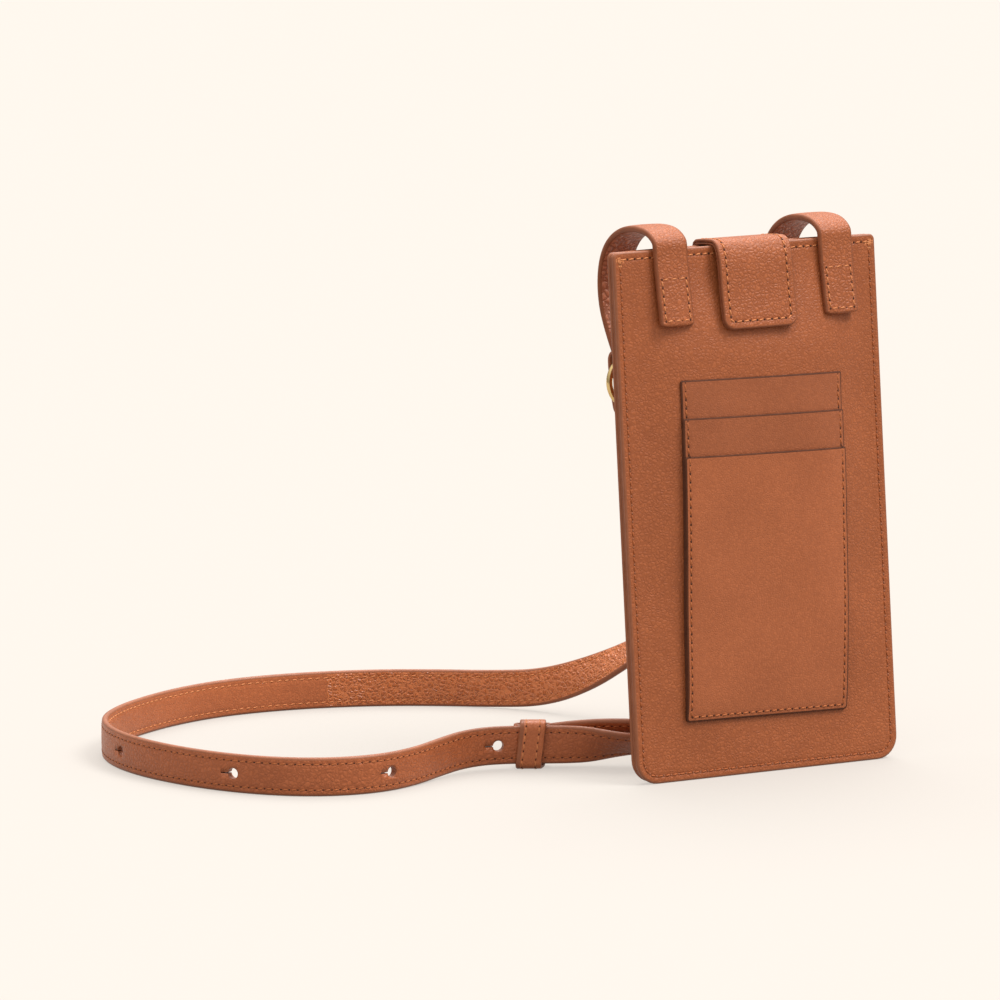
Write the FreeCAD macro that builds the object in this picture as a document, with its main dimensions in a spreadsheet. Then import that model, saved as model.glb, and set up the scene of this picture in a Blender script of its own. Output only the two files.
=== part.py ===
import FreeCAD, Part
import Sketcher
import math
import os

# Slim leather phone pouch that leans back on its shoulder strap.
# The pouch is modelled upright, then leaned: X runs across it, Y from the front to the back and
# Z up.  The origin is the middle of the front panel's lower edge, where the pouch stands.
# Lengths are in millimetres, angles in degrees.

V = FreeCAD.Vector
X_AXIS = V(1, 0, 0)
Y_AXIS = V(0, 1, 0)
Z_AXIS = V(0, 0, 1)

SIZES = (
    ("pouch_width", 105.0),
    ("pouch_height", 182.0),
    ("bottom_corner_radius", 8.0),
    ("mouth_corner_radius", 2.0),
    ("panel_thickness", 1.5),
    ("lining_thickness", 0.8),
    ("lining_inset", 1.0),
    ("seam_margin", 4.0),
    ("front_bulge", 5.5),
    ("back_bulge", 7.0),
    ("lean_angle", 5.6),
    ("base_trim", 0.1),
    ("cut_overrun", 5.0),
    ("pocket_width", 65.0),
    ("pocket_top_drop", 45.5),
    ("pocket_low", 19.5),
    ("pocket_offset", 0.7),
    ("pocket_turn", 1.1),
    ("pocket_corner_radius", 1.5),
    ("slot_step", 13.0),
    ("slot_sheet_thickness", 0.8),
    ("strap_width", 13.4),
    ("strap_thickness", 2.6),
    ("tab_left_inset", 21.7),
    ("tab_right_inset", 17.2),
    ("tab_sewn_length", 26.5),
    ("arch_reach", 38.6),
    ("arch_rise", 7.3),
    ("arch_drop", 35.6),
    ("eye_gap_width", 4.8),
    ("eye_gap_height", 7.2),
    ("ring_radius", 8.4),
    ("ring_wire_radius", 1.1),
    ("ring_play", 0.4),
    ("flap_width", 29.5),
    ("flap_offset", 1.2),
    ("flap_leather", 1.2),
    ("flap_lining", 0.8),
    ("flap_drop", 29.0),
    ("flap_rise", 1.2),
    ("flap_stand_off", 1.7),
    ("flap_tip_stand_off", 5.9),
    ("flap_fold_radius", 2.0),
    ("flap_corner_radius", 4.0),
    ("flap_seam_drop", 5.5),
    ("flap_anchor_length", 28.0),
    ("flap_play", 0.3),
    ("magnet_radius", 5.0),
    ("magnet_thickness", 1.0),
    ("magnet_drop", 19.0),
    ("hole_radius", 2.0),
    ("hole_pitch", 55.5),
    ("slit_length", 4.5),
    ("slit_width", 0.5),
    ("stud_from_tip", 22.9),
    ("stud_flange_radius", 3.5),
    ("stud_flange_thickness", 0.8),
    ("stud_neck_radius", 1.6),
    ("stud_head_radius", 3.0),
    ("screw_radius", 1.0),
    ("screw_depth", 2.5),
    ("screw_head_radius", 3.5),
    ("screw_head_thickness", 1.0),
    ("screw_play", 0.05),
    ("keeper_width", 9.0),
    ("keeper_wall", 1.4),
    ("keeper_play", 0.25),
    ("keeper_corner_radius", 1.0),
)
STRAP_HOLES = 5

# How the panels swell, as shares of the pouch height from the seam up: where the swelling starts
# and is full, and where it falls off again towards the mouth.  The front is straight at the mouth.
FRONT_RISE_SHARES = (0.02, 0.62)
FRONT_FALL_SHARES = (0.78, 1.0)
BACK_RISE_SHARES = (0.02, 0.25)
BACK_FALL_SHARES = (0.80, 1.0)
BACK_MOUTH_SHARE = 0.8
FRONT_POWER = 4
BACK_POWER = 6
GRID_COLUMN_COUNT = 40
GRID_ROW_COUNT = 26
GRID_DEGREE = 3

# Strap tab arch: share of the reach to the back, then share of the rise above the mouth
# (positive) or of the drop below it (negative).
ARCH_SHARES = (
    (0.0, 0.0), (0.0, 0.39), (0.162, 0.90), (0.509, 1.0), (0.80, 0.43),
    (0.957, -0.13), (1.0, -0.42), (0.942, -0.71), (0.792, -1.0),
)
BEND_SHARE = 0.45
ARC_STEPS = 4

# Routes of the two straps, from the ring to the far end: a point of the centre line, and the
# direction of the strap's upper edge there.  On the floor the straps stand on edge.
LONG_ROUTE = (
    ((35.3, 40.61, 121.82), (1, 0, 0)),
    ((35.3, 39.39, 109.35), (1, 0, 0)),
    ((34.6, 41.0, 97.0), (1, 0, 0.1)),
    ((32.8, 47.0, 82.0), (0.97, 0, 0.24)),
    ((29.3, 57.0, 67.0), (0.93, 0, 0.37)),
    ((24.0, 70.0, 52.5), (0.88, 0, 0.48)),
    ((17.0, 85.0, 38.5), (0.8, 0, 0.6)),
    ((9.0, 102.0, 26.2), (0.68, 0, 0.73)),
    ((0.5, 119.5, 15.6), (0.48, 0, 0.88)),
    ((-9.5, 136.5, 8.4), (0.22, 0, 0.98)),
    ((-22.0, 151.0, 6.9), (0.06, 0, 1)),
    ((-37.0, 163.5, 6.7), (0, 0, 1)),
    ((-55.0, 174.0, 6.7), (0, 0, 1)),
    ((-75.0, 181.0, 6.7), (0, 0, 1)),
    ((-95.5, 184.5, 6.7), (0, 0, 1)),
    ((-115.5, 184.0, 6.7), (0, 0, 1)),
    ((-135.0, 178.5, 6.7), (0, 0, 1)),
    ((-153.0, 169.5, 6.7), (0, 0, 1)),
    ((-169.8, 158.0, 6.7), (0, 0, 1)),
    ((-183.3, 143.3, 6.7), (0, 0, 1)),
    ((-190.5, 124.1, 6.7), (0, 0, 1)),
    ((-191.5, 103.0, 6.7), (0, 0, 1)),
    ((-187.0, 81.0, 6.7), (0, 0, 1)),
    ((-178.5, 61.0, 6.7), (0, 0, 1)),
    ((-166.0, 45.0, 6.7), (0, 0, 1)),
    ((-150.5, 35.5, 6.7), (0, 0, 1)),
    ((-133.5, 33.5, 6.7), (0, 0, 1)),
    ((-117.5, 38.5, 6.8), (0, 0, 1)),
    ((-103.5, 46.0, 7.4), (0, 0, 1)),
    ((-91.0, 51.5, 8.0), (0, 0, 1)),
    ((-78.0, 51.05, 8.35), (0, 0, 1)),
    ((-55.75, 38.87, 8.35), (0, 0, 1)),
    ((-43.0, 30.5, 8.5), (0, -0.78, 0.62)),
    ((-28.0, 23.0, 8.7), (0, -0.88, 0.47)),
    ((-8.0, 18.0, 8.9), (0, -0.9, 0.45)),
)
SHORT_ROUTE = (
    ((-29.33, 40.61, 121.93), (0.99, 0.014, 0.139)),
    ((-27.59, 39.41, 109.61), (0.99, 0.014, 0.139)),
    ((-22.3, 38.8, 97.5), (0.87, -0.45, 0.2)),
    ((-12.5, 39.2, 84.5), (0.6, -0.75, 0.2)),
    ((-1.5, 40.5, 73.0), (0.35, -0.93, 0.15)),
    ((9.5, 42.5, 62.0), (0.15, -1, 0.1)),
    ((20.0, 43.5, 50.5), (0, -1, 0)),
    ((27.0, 42.0, 38.5), (0, -1, 0)),
    ((28.5, 37.0, 26.5), (0, -1, 0.1)),
    ((22.5, 29.5, 17.9), (0, -1, 0.2)),
    ((9.0, 24.0, 13.9), (0, -0.95, 0.35)),
    ((-7.6, 20.2, 12.9), (0, -0.9, 0.45)),
    ((-27.0, 25.1, 12.6), (0, -0.88, 0.47)),
    ((-41.0, 33.7, 12.3), (0, -0.62, 0.78)),
    ((-59.87, 45.55, 8.35), (0, 0, 1)),
)
KEEPER_RUN_INDEX = 30
LINING_SEAM_INDEX = 12

doc = FreeCAD.newDocument("phone_pouch")
sheet = doc.addObject("Spreadsheet::Sheet", "Sizes")
for row, (alias, value) in enumerate(SIZES, start=1):
    sheet.set("A%d" % row, alias)
    sheet.set("B%d" % row, str(value))
    sheet.setAlias("B%d" % row, alias)
doc.recompute()
nodes = []


def size(alias):
    return float(sheet.get(alias))


FRONT_Y = -size("panel_thickness") / 2
EDGE_THICKNESS = 2 * (size("panel_thickness") + size("lining_thickness"))
BACK_Y = FRONT_Y + EDGE_THICKNESS
LAYER = size("strap_thickness") / 2
LEAN = FreeCAD.Rotation(X_AXIS, -size("lean_angle"))


def bind(obj, **expressions):
    for name, expression in expressions.items():
        obj.setExpression(name, expression)


def leaned(obj):
    obj.Placement = FreeCAD.Placement(Z_AXIS * -size("base_trim"), LEAN)
    obj.setExpression("Placement.Base.z", "-Sizes.base_trim")
    obj.setExpression("Placement.Rotation.Angle", "Sizes.lean_angle")
    obj.setExpression("Placement.Rotation.Axis.x", "-1")
    return obj


def node(obj, label, lean=False):
    obj.Label = label
    nodes.append(leaned(obj) if lean else obj)


def feature(label, shape):
    obj = doc.addObject("Part::Feature", label)
    obj.Shape = shape
    return obj


def boolean(kind, label, base, tool):
    obj = doc.addObject(kind, label)
    obj.Base = base
    obj.Tool = tool
    return obj


def joined(label, shapes):
    obj = doc.addObject("Part::MultiFuse", label)
    obj.Shapes = shapes
    return obj


# Cut patterns: a rectangle standing on the body's origin, padded to both sides of the sheet

def origin_plane(body, role):
    return next(item for item in body.Origin.OriginFeatures if item.Role == role)


def rectangle_sketch(body, role, width, height):
    sketch = body.newObject("Sketcher::SketchObject", body.Name + "_outline")
    sketch.AttachmentSupport = [(origin_plane(body, role), "")]
    sketch.MapMode = "FlatFace"
    corners = (V(0, 0, 0), V(1, 0, 0), V(1, 1, 0), V(0, 1, 0))
    for index, corner in enumerate(corners):
        sketch.addGeometry(Part.LineSegment(corner, corners[(index + 1) % len(corners)]), False)
    for index in range(len(corners)):
        sketch.addConstraint(Sketcher.Constraint("Coincident", index, 2, (index + 1) % len(corners), 1))
    for index, kind in enumerate(("Horizontal", "Vertical", "Horizontal", "Vertical")):
        sketch.addConstraint(Sketcher.Constraint(kind, index))
    sketch.addConstraint(Sketcher.Constraint("Symmetric", 0, 1, 0, 2, -1, 1))
    for name, constraint, expression in (
            ("width", Sketcher.Constraint("DistanceX", 0, 1, 0, 2, 1), width),
            ("height", Sketcher.Constraint("DistanceY", 1, 1, 1, 2, 1), height)):
        sketch.renameConstraint(sketch.addConstraint(constraint), name)
        sketch.setExpression("Constraints." + name, expression)
    return sketch


def corner_edges(shape, low, high):
    names = []
    for index, edge in enumerate(shape.Edges, start=1):
        middle = edge.CenterOfMass
        if abs(edge.tangentAt(edge.FirstParameter).y) > 0.9 and low < middle.z <= high:
            names.append("Edge%d" % index)
    return names


def pattern(label, width, height, low_radius=None, high_radius=None):
    body = doc.addObject("PartDesign::Body", label + "_pattern")
    pad = body.newObject("PartDesign::Pad", label + "_pad")
    pad.Profile = rectangle_sketch(body, "XZ_Plane", width, height)
    pad.SideType = "Symmetric"
    bind(pad, Length="4 * (Sizes.front_bulge + Sizes.back_bulge + Sizes.strap_thickness)")
    doc.recompute()
    middle = pad.Shape.BoundBox.Center.z
    last = pad
    for radius, low, high in ((low_radius, -math.inf, middle), (high_radius, middle, math.inf)):
        if radius is None:
            continue
        fillet = body.newObject("PartDesign::Fillet", label + "_corner")
        fillet.Base = (last, corner_edges(last.Shape, low, high))
        bind(fillet, Radius=radius)
        doc.recompute()
        last = fillet
    return body


# Swollen sheets: the panels and what is sewn on them share two smooth surfaces

def ease(value, start, end):
    share = min(max((value - start) / (end - start), 0), 1)
    return share * share * (3 - 2 * share)


def swell(x, z, power, rise, fall, top_share):
    half = size("pouch_width") / 2 - size("seam_margin")
    across = max(1 - (abs(x) / half) ** power, 0) ** 2
    up = z / size("pouch_height")
    return across * ease(up, *rise) * (1 - (1 - top_share) * ease(up, *fall))


def front_swell(x, z):
    return size("front_bulge") * swell(x, z, FRONT_POWER, FRONT_RISE_SHARES, FRONT_FALL_SHARES, 0)


def back_swell(x, z):
    return size("back_bulge") * swell(
        x, z, BACK_POWER, BACK_RISE_SHARES, BACK_FALL_SHARES, BACK_MOUTH_SHARE)


def grid_line(start, end, count):
    # places of the poles of an even spline that runs straight from start to end
    knots = list(range(count - GRID_DEGREE + 1))
    times = [GRID_DEGREE + 1] + [1] * (len(knots) - 2) + [GRID_DEGREE + 1]
    row = [knot for knot, repeat in zip(knots, times) for _ in range(repeat)]
    shares = [sum(row[index + 1:index + 1 + GRID_DEGREE]) / GRID_DEGREE / knots[-1] for index in range(count)]
    return [start + (end - start) * share for share in shares], times, knots


def swollen_slab(label, height_at, front, thickness):
    reach = size("pouch_width") / 2 + size("cut_overrun")
    overrun = size("cut_overrun")
    columns, across_times, across_knots = grid_line(-reach, reach, GRID_COLUMN_COUNT)
    rows, up_times, up_knots = grid_line(-overrun, size("pouch_height") + overrun, GRID_ROW_COUNT)
    poles = [[V(x, front + height_at(x, z), z) for z in rows] for x in columns]
    surface = Part.BSplineSurface()
    surface.buildFromPolesMultsKnots(poles, across_times, up_times, across_knots, up_knots,
                                     False, False, GRID_DEGREE, GRID_DEGREE)
    return feature(label + "_sheet", surface.toShape().extrude(Y_AXIS * thickness))


def front_slab(label, front, thickness):
    return swollen_slab(label, lambda x, z: -front_swell(x, z), front, thickness)


def back_slab(label, front, thickness):
    return swollen_slab(label, back_swell, front, thickness)


def place(obj, x, z, turn=None):
    obj.Placement = FreeCAD.Placement(V(1, 0, 1), FreeCAD.Rotation(Y_AXIS, 1))
    bind(obj, **{"Placement.Base.x": x, "Placement.Base.z": z,
                 "Placement.Rotation.Angle": turn or "0"})
    return obj


def floor_box():
    box = doc.addObject("Part::Box", "floor_trim")
    bind(box, Length="2 * Sizes.pouch_width", Width="2 * Sizes.pouch_width", Height="Sizes.cut_overrun")
    box.Placement.Base = V(-1, -1, -1)
    bind(box, **{"Placement.Base.x": "-Sizes.pouch_width", "Placement.Base.y": "-Sizes.pouch_width",
                 "Placement.Base.z": "-Sizes.cut_overrun"})
    return box


# Panels, linings and the magnet behind the front panel

def panel_pattern(label):
    return pattern(label, "Sizes.pouch_width", "Sizes.pouch_height",
                   "Sizes.bottom_corner_radius", "Sizes.mouth_corner_radius")


def lining_pattern(label):
    body = pattern(label, "Sizes.pouch_width - 2 * Sizes.lining_inset",
                   "Sizes.pouch_height - 2 * Sizes.lining_inset",
                   "Sizes.bottom_corner_radius - Sizes.lining_inset", "Sizes.mouth_corner_radius")
    return place(body, "0", "Sizes.lining_inset")


def magnet_disc(label, centre, outward):
    disc = doc.addObject("Part::Cylinder", label)
    bind(disc, Radius="Sizes.magnet_radius", Height="Sizes.magnet_thickness")
    base = centre - outward * (size("magnet_thickness") / 2)
    disc.Placement = FreeCAD.Placement(base, FreeCAD.Rotation(Z_AXIS, outward))
    return disc


def make_shell(floor):
    panel = size("panel_thickness")
    lining = size("lining_thickness")
    flap_x = size("flap_offset")
    magnet_z = size("pouch_height") - size("magnet_drop")
    probe = size("magnet_radius")
    slope = (front_swell(flap_x, magnet_z + probe) - front_swell(flap_x, magnet_z - probe)) / (2 * probe)
    outward = V(0, -1, -slope).normalize()
    seat = FRONT_Y - front_swell(flap_x, magnet_z) + panel
    magnet = magnet_disc("front_magnet_disc", V(flap_x, seat, magnet_z), outward)

    def sewn(label, body, slab):
        return boolean("Part::Common", label, body, slab)

    front = sewn("front_cut", panel_pattern("front_panel"), front_slab("front_panel", FRONT_Y, panel))
    front = boolean("Part::Cut", "front_recess", front, magnet)
    node(boolean("Part::Cut", "front_panel", leaned(front), floor), "front_panel")
    inner = sewn("front_lining_cut", lining_pattern("front_lining"),
                 front_slab("front_lining", FRONT_Y + panel, lining))
    node(boolean("Part::Cut", "front_lining", inner, magnet), "front_lining", lean=True)
    middle = FRONT_Y + panel + lining
    rear = sewn("back_lining", lining_pattern("back_lining"), back_slab("back_lining", middle, lining))
    node(rear, "back_lining", lean=True)
    back = sewn("back_cut", panel_pattern("back_panel"), back_slab("back_panel", middle + lining, panel))
    node(boolean("Part::Cut", "back_panel", leaned(back), floor), "back_panel")
    copy = doc.addObject("Part::Compound", "front_magnet_seated")
    copy.Links = [magnet]
    node(copy, "front_magnet", lean=True)


# Card pocket: three sheets, each lower at the mouth than the one behind it

def make_pocket():
    thickness = size("slot_sheet_thickness")
    for layer, label in enumerate(("card_slot_upper", "card_slot_middle", "card_slot_front")):
        height = "Sizes.pouch_height - Sizes.pocket_low - Sizes.pocket_top_drop - %d * Sizes.slot_step"
        body = pattern(label, "Sizes.pocket_width", height % layer, "Sizes.pocket_corner_radius")
        place(body, "-Sizes.pocket_offset", "Sizes.pocket_low", "Sizes.pocket_turn")
        slab = front_slab(label, FRONT_Y - (layer + 1) * thickness, thickness)
        node(boolean("Part::Common", label, body, slab), label, lean=True)


# Bands: a centre line of straight runs and tangent arcs

def rounded(points, radius=None):
    pieces = [(points[0],)]
    for before, point, after in zip(points, points[1:], points[2:]):
        into = (point - before).normalize()
        out = (after - point).normalize()
        half = into.getAngle(out) / 2
        cut = BEND_SHARE * min((point - before).Length, (after - point).Length)
        if radius:
            cut = radius * math.tan(half)
        start = point - into * cut
        end = point + out * cut
        towards = (out - into).normalize()
        bend = cut / math.tan(half)
        middle = point + towards * (bend / math.cos(half) - bend)
        pieces.append((start, middle, end, into, out, bend))
    pieces.append((points[-1],))
    return pieces


def band_face(points, low, high, radius=None):
    def side(offset):
        path = []
        pieces = rounded(points, radius)
        first = (points[1] - points[0]).normalize()
        last = (points[-1] - points[-2]).normalize()
        here = points[0] + X_AXIS.cross(first) * offset
        for start, middle, end, into, out, _ in pieces[1:-1]:
            a = start + X_AXIS.cross(into) * offset
            b = middle + X_AXIS.cross((into + out).normalize()) * offset
            c = end + X_AXIS.cross(out) * offset
            path.append(Part.LineSegment(here, a).toShape())
            path.append(Part.Arc(a, b, c).toShape())
            here = c
        path.append(Part.LineSegment(here, points[-1] + X_AXIS.cross(last) * offset).toShape())
        return path

    outer = side(high)
    inner = side(low)
    caps = [Part.LineSegment(outer[0].Vertexes[0].Point, inner[0].Vertexes[0].Point).toShape(),
            Part.LineSegment(outer[-1].Vertexes[-1].Point, inner[-1].Vertexes[-1].Point).toShape()]
    return Part.Face(Part.Wire(Part.__sortEdges__(outer + inner + caps)))


def band(points, low, high, width, radius=None):
    face = band_face(points, low, high, radius)
    face.translate(-X_AXIS * (width / 2))
    return face.extrude(X_AXIS * width)


def eye(centre, across, along):
    # turned end of a strap: a tall slot with a wall round it, as deep as the strap is wide
    through = across.cross(along)
    width = size("strap_width")

    def slot(half_width, half_height):
        straight = half_height - half_width
        corners = [centre + through * (half_width * a) + along * (straight * b)
                   for a, b in ((1, -1), (1, 1), (-1, 1), (-1, -1))]
        tops = [centre + along * (half_height * b) for b in (1, -1)]
        edges = (Part.LineSegment(corners[0], corners[1]), Part.Arc(corners[1], tops[0], corners[2]),
                 Part.LineSegment(corners[2], corners[3]), Part.Arc(corners[3], tops[1], corners[0]))
        face = Part.Face(Part.Wire([edge.toShape() for edge in edges]))
        face.translate(across * (-width / 2))
        return face.extrude(across * width)

    half_width = size("eye_gap_width") / 2
    half_height = size("eye_gap_height") / 2
    return slot(half_width + LAYER, half_height + LAYER).cut(slot(half_width, half_height))


def eye_reach():
    # from the middle of an eye to the strap's centre line where it sets in
    return size("eye_gap_height") / 2 + LAYER / 2


# Strap tabs with their turned ends, and the rings in them

def arch_points():
    top = size("pouch_height")
    points = []
    for reach, lift in ARCH_SHARES:
        scale = size("arch_rise") if lift > 0 else size("arch_drop")
        points.append(V(0, FRONT_Y - LAYER + reach * size("arch_reach"), top + lift * scale))
    return points


def make_tab(side, offset):
    body = pattern("strap_tab_" + side, "Sizes.strap_width", "Sizes.tab_sewn_length")
    place(body, offset, "Sizes.pouch_height - Sizes.tab_sewn_length")
    slab = front_slab("strap_tab_" + side, FRONT_Y - 2 * LAYER, 2 * LAYER)
    sewn = boolean("Part::Common", "tab_sewn_" + side, body, slab)
    points = arch_points()
    centre = points[-1] - Z_AXIS * eye_reach()
    arch = band(points, -LAYER, LAYER, size("strap_width")).fuse(eye(centre, X_AXIS, Z_AXIS))
    hung = feature("tab_arch_" + side, arch.removeSplitter())
    hung.Placement = FreeCAD.Placement(V(1, 0, 0), FreeCAD.Rotation())
    bind(hung, **{"Placement.Base.x": offset})
    node(joined("strap_tab_" + side, [sewn, hung]), "strap_tab_" + side, lean=True)

    torus = doc.addObject("Part::Torus", "ring_wire_" + side)
    bind(torus, Radius1="Sizes.ring_radius", Radius2="Sizes.ring_wire_radius")
    lift = size("eye_gap_height") / 2 - size("ring_wire_radius") - size("ring_play")
    middle = centre + Z_AXIS * (lift - size("ring_radius"))
    torus.Placement = FreeCAD.Placement(middle + X_AXIS, FreeCAD.Rotation(Z_AXIS, Y_AXIS))
    bind(torus, **{"Placement.Base.x": offset})
    hanging = doc.addObject("Part::Compound", "ring_hung_" + side)
    hanging.Links = [torus]
    node(hanging, "ring_" + side, lean=True)


# Closing flap: sewn to the back, folded over the mouth, with a magnet at its loose end

def flap_points():
    top = size("pouch_height")
    back = BACK_Y + back_swell(size("flap_offset"), top) + size("flap_stand_off")
    return [V(0, back, top - size("flap_seam_drop")),
            V(0, back, top + size("flap_rise")),
            V(0, FRONT_Y - size("flap_stand_off"), top + size("flap_rise")),
            V(0, FRONT_Y - size("flap_tip_stand_off"), top - size("flap_drop"))]


def flap_sheet(label, low, high):
    points = flap_points()
    solid = band(points, low, high, size("flap_width"), size("flap_fold_radius"))
    tip = points[-1].z + size("flap_corner_radius")
    corners = [edge for edge in solid.Edges
               if edge.BoundBox.ZMax < tip and edge.Length < 2 * (high - low)
               and abs(edge.tangentAt(edge.FirstParameter).x) < 0.1]
    solid = solid.makeFillet(size("flap_corner_radius"), corners)
    sheet_part = feature(label, solid)
    sheet_part.Placement = FreeCAD.Placement(X_AXIS, FreeCAD.Rotation())
    bind(sheet_part, **{"Placement.Base.x": "Sizes.flap_offset"})
    return sheet_part


def make_flap():
    points = flap_points()
    down = (points[-1] - points[-2]).normalize()
    outward = X_AXIS.cross(down) * -1
    centre = points[-2] + down * (size("magnet_drop") + size("flap_rise"))
    centre.x = size("flap_offset")
    magnet = magnet_disc("flap_magnet_disc", centre, outward)
    leather = flap_sheet("flap_leather_cut", -size("flap_leather"), 0)
    lining = flap_sheet("flap_lining_cut", 0, size("flap_lining"))
    node(boolean("Part::Cut", "closing_flap", leather, magnet), "closing_flap", lean=True)
    node(boolean("Part::Cut", "flap_lining", lining, magnet), "flap_lining", lean=True)
    seated = doc.addObject("Part::Compound", "flap_magnet_seated")
    seated.Links = [magnet]
    node(seated, "flap_magnet", lean=True)

    body = pattern("flap_anchor", "Sizes.flap_width", "Sizes.flap_anchor_length", "Sizes.flap_corner_radius")
    place(body, "Sizes.flap_offset",
          "Sizes.pouch_height - Sizes.flap_seam_drop - Sizes.flap_play - Sizes.flap_anchor_length")
    slab = back_slab("flap_anchor", BACK_Y, size("flap_leather") + size("flap_lining"))
    node(boolean("Part::Common", "flap_anchor", body, slab), "flap_anchor", lean=True)


# Straps: flat ribbons lofted along their routes

def square_to(direction, along):
    return (direction - along * direction.dot(along)).normalize()


def stations(route):
    # places along a route: point, direction and upper edge, and which of them are mid-run
    points = [V(*point) for point, _ in route]
    edges = [V(*edge).normalize() for _, edge in route]
    found = []
    middles = []

    def add(point, along, edge):
        found.append((point, along, square_to(edge, along)))

    pieces = rounded(points)
    first = (points[1] - points[0]).normalize()
    add(points[0], first, edges[0])
    for index, (start, middle, end, into, out, bend) in enumerate(pieces[1:-1], start=1):
        before = points[index - 1]
        share_in = (start - before).Length / (points[index] - before).Length
        share_out = (end - points[index]).Length / (points[index + 1] - points[index]).Length
        edge_in = edges[index - 1] * (1 - share_in) + edges[index] * share_in
        edge_out = edges[index] * (1 - share_out) + edges[index + 1] * share_out
        middles.append(len(found))
        last = found[-1]
        add((last[0] + start) * 0.5, into, last[2] + edge_in)
        arc = Part.Arc(start, middle, end)
        for step in range(ARC_STEPS + 1):
            share = step / ARC_STEPS
            at = arc.FirstParameter + share * (arc.LastParameter - arc.FirstParameter)
            along = V(*arc.tangent(at)[0])
            add(arc.value(at), along, edge_in * (1 - share) + edge_out * share)
    middles.append(len(found))
    last = (points[-1] - points[-2]).normalize()
    add((found[-1][0] + points[-1]) * 0.5, last, found[-1][2] + edges[-1])
    add(points[-1], last, edges[-1])
    return found, middles


def place_at(found, distance):
    # the place a distance before the far end of a route
    for (near, along, edge), (far, _, _) in zip(reversed(found), reversed(found[:-1])):
        step = (near - far).Length
        if distance <= step:
            return near + (far - near) * (distance / step), along, edge
        distance -= step
    raise ValueError("the strap is too short for this place")


def ribbon(found, low, high):
    # the strap's face looks along the direction crossed with the upper edge
    half = size("strap_width") / 2
    wires = []
    for point, along, edge in found:
        face = along.cross(edge)
        corners = [point + edge * (half * a) + face * b
                   for a, b in ((1, low), (1, high), (-1, high), (-1, low))]
        wires.append(Part.makePolygon(corners + corners[:1]))
    return Part.makeLoft(wires, True, True)


def report_route(label, route, found, solid):
    bends = [piece[-1] for piece in rounded([V(*point) for point, _ in route])[1:-1]]
    length = sum((b[0] - a[0]).Length for a, b in zip(found, found[1:]))
    expected = length * size("strap_width") * LAYER
    print("%s: length %.1f, volume %.0f of %.0f, radii %s"
          % (label, length, solid.Volume, expected, " ".join("%.0f" % bend for bend in bends)))


def start_eye(found):
    point, along, edge = found[0]
    return eye(point - along * eye_reach(), edge, along)


def hole_cutter(place_found):
    point, along, edge = place_found
    face = along.cross(edge)
    depth = size("strap_thickness")
    drill = Part.makeCylinder(size("hole_radius"), 2 * depth, point - face * depth, face)
    start = point - along * size("slit_length") - edge * (size("slit_width") / 2) - face * depth
    corners = [start, start + along * size("slit_length"),
               start + along * size("slit_length") + edge * size("slit_width"),
               start + edge * size("slit_width")]
    slit = Part.Face(Part.makePolygon(corners + corners[:1])).extrude(face * (2 * depth))
    return drill.fuse(slit)


def make_long_strap(found, middles):
    turned = start_eye(found)
    seam = middles[LINING_SEAM_INDEX]
    distances = [size("stud_from_tip") + index * size("hole_pitch") for index in range(STRAP_HOLES)]
    cutters = [hole_cutter(place_at(found, distance)) for distance in distances]
    face = ribbon(found, 0, LAYER)
    report_route("strap_long_face", LONG_ROUTE, found, face)
    face = face.fuse(turned)
    near = ribbon(found[:seam + 1], -LAYER, 0).cut(turned)
    far = ribbon(found[seam:], -LAYER, 0)
    for cutter in cutters:
        face = face.cut(cutter)
        far = far.cut(cutter)
    node(feature("strap_long_face", face), "strap_long_face")
    node(feature("strap_long_lining_upper", near), "strap_long_lining_upper")
    node(feature("strap_long_lining_lower", far), "strap_long_lining_lower")


def keeper_frame(found, middles):
    point, along, edge = found[middles[KEEPER_RUN_INDEX]]
    return point, along, along.cross(edge) * -1


def keeper_eye(found, middles):
    # flat turned eye at the far end of the short strap, which holds the keeper's back wall
    point, along, back = keeper_frame(found, middles)
    play = size("keeper_play")
    centre = point + back * strap_spacing()
    half_length = size("keeper_width") / 2 + 3 * play
    half_gap = size("keeper_wall") / 2 + play
    rise = Z_AXIS * size("strap_width")

    def block(length, depth):
        corners = [centre + along * (length * a) + back * (depth * b) - rise * 0.5
                   for a, b in ((-1, -1), (1, -1), (1, 1), (-1, 1))]
        return Part.Face(Part.makePolygon(corners + corners[:1])).extrude(rise)

    wall = size("keeper_wall")
    outer = block(half_length + wall, half_gap + wall)
    uprights = [edge for edge in outer.Edges if abs(edge.tangentAt(edge.FirstParameter).z) > 0.9]
    outer = outer.makeFillet(half_gap + wall / 2, uprights)
    return outer, outer.cut(block(half_length, half_gap))


def strap_spacing():
    # between the centre lines of the two straps where they overlap
    return LAYER + size("keeper_play") * 2 + size("keeper_wall") * 1.5


def make_short_strap(found, long_found, long_middles):
    turned = start_eye(found)
    whole, held = keeper_eye(long_found, long_middles)
    face = ribbon(found, 0, LAYER)
    report_route("strap_short_face", SHORT_ROUTE, found, face)
    lining = ribbon(found, -LAYER, 0).cut(turned).cut(whole)
    face = face.fuse(turned).fuse(held)
    return face, lining


def nearest(found, point):
    best = None
    for (start, _, _), (end, _, _) in zip(found, found[1:]):
        step = end - start
        share = min(max((point - start).dot(step) / step.dot(step), 0), 1)
        place_found = start + step * share
        if best is None or (place_found - point).Length < (best - point).Length:
            best = place_found
    return best


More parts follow.
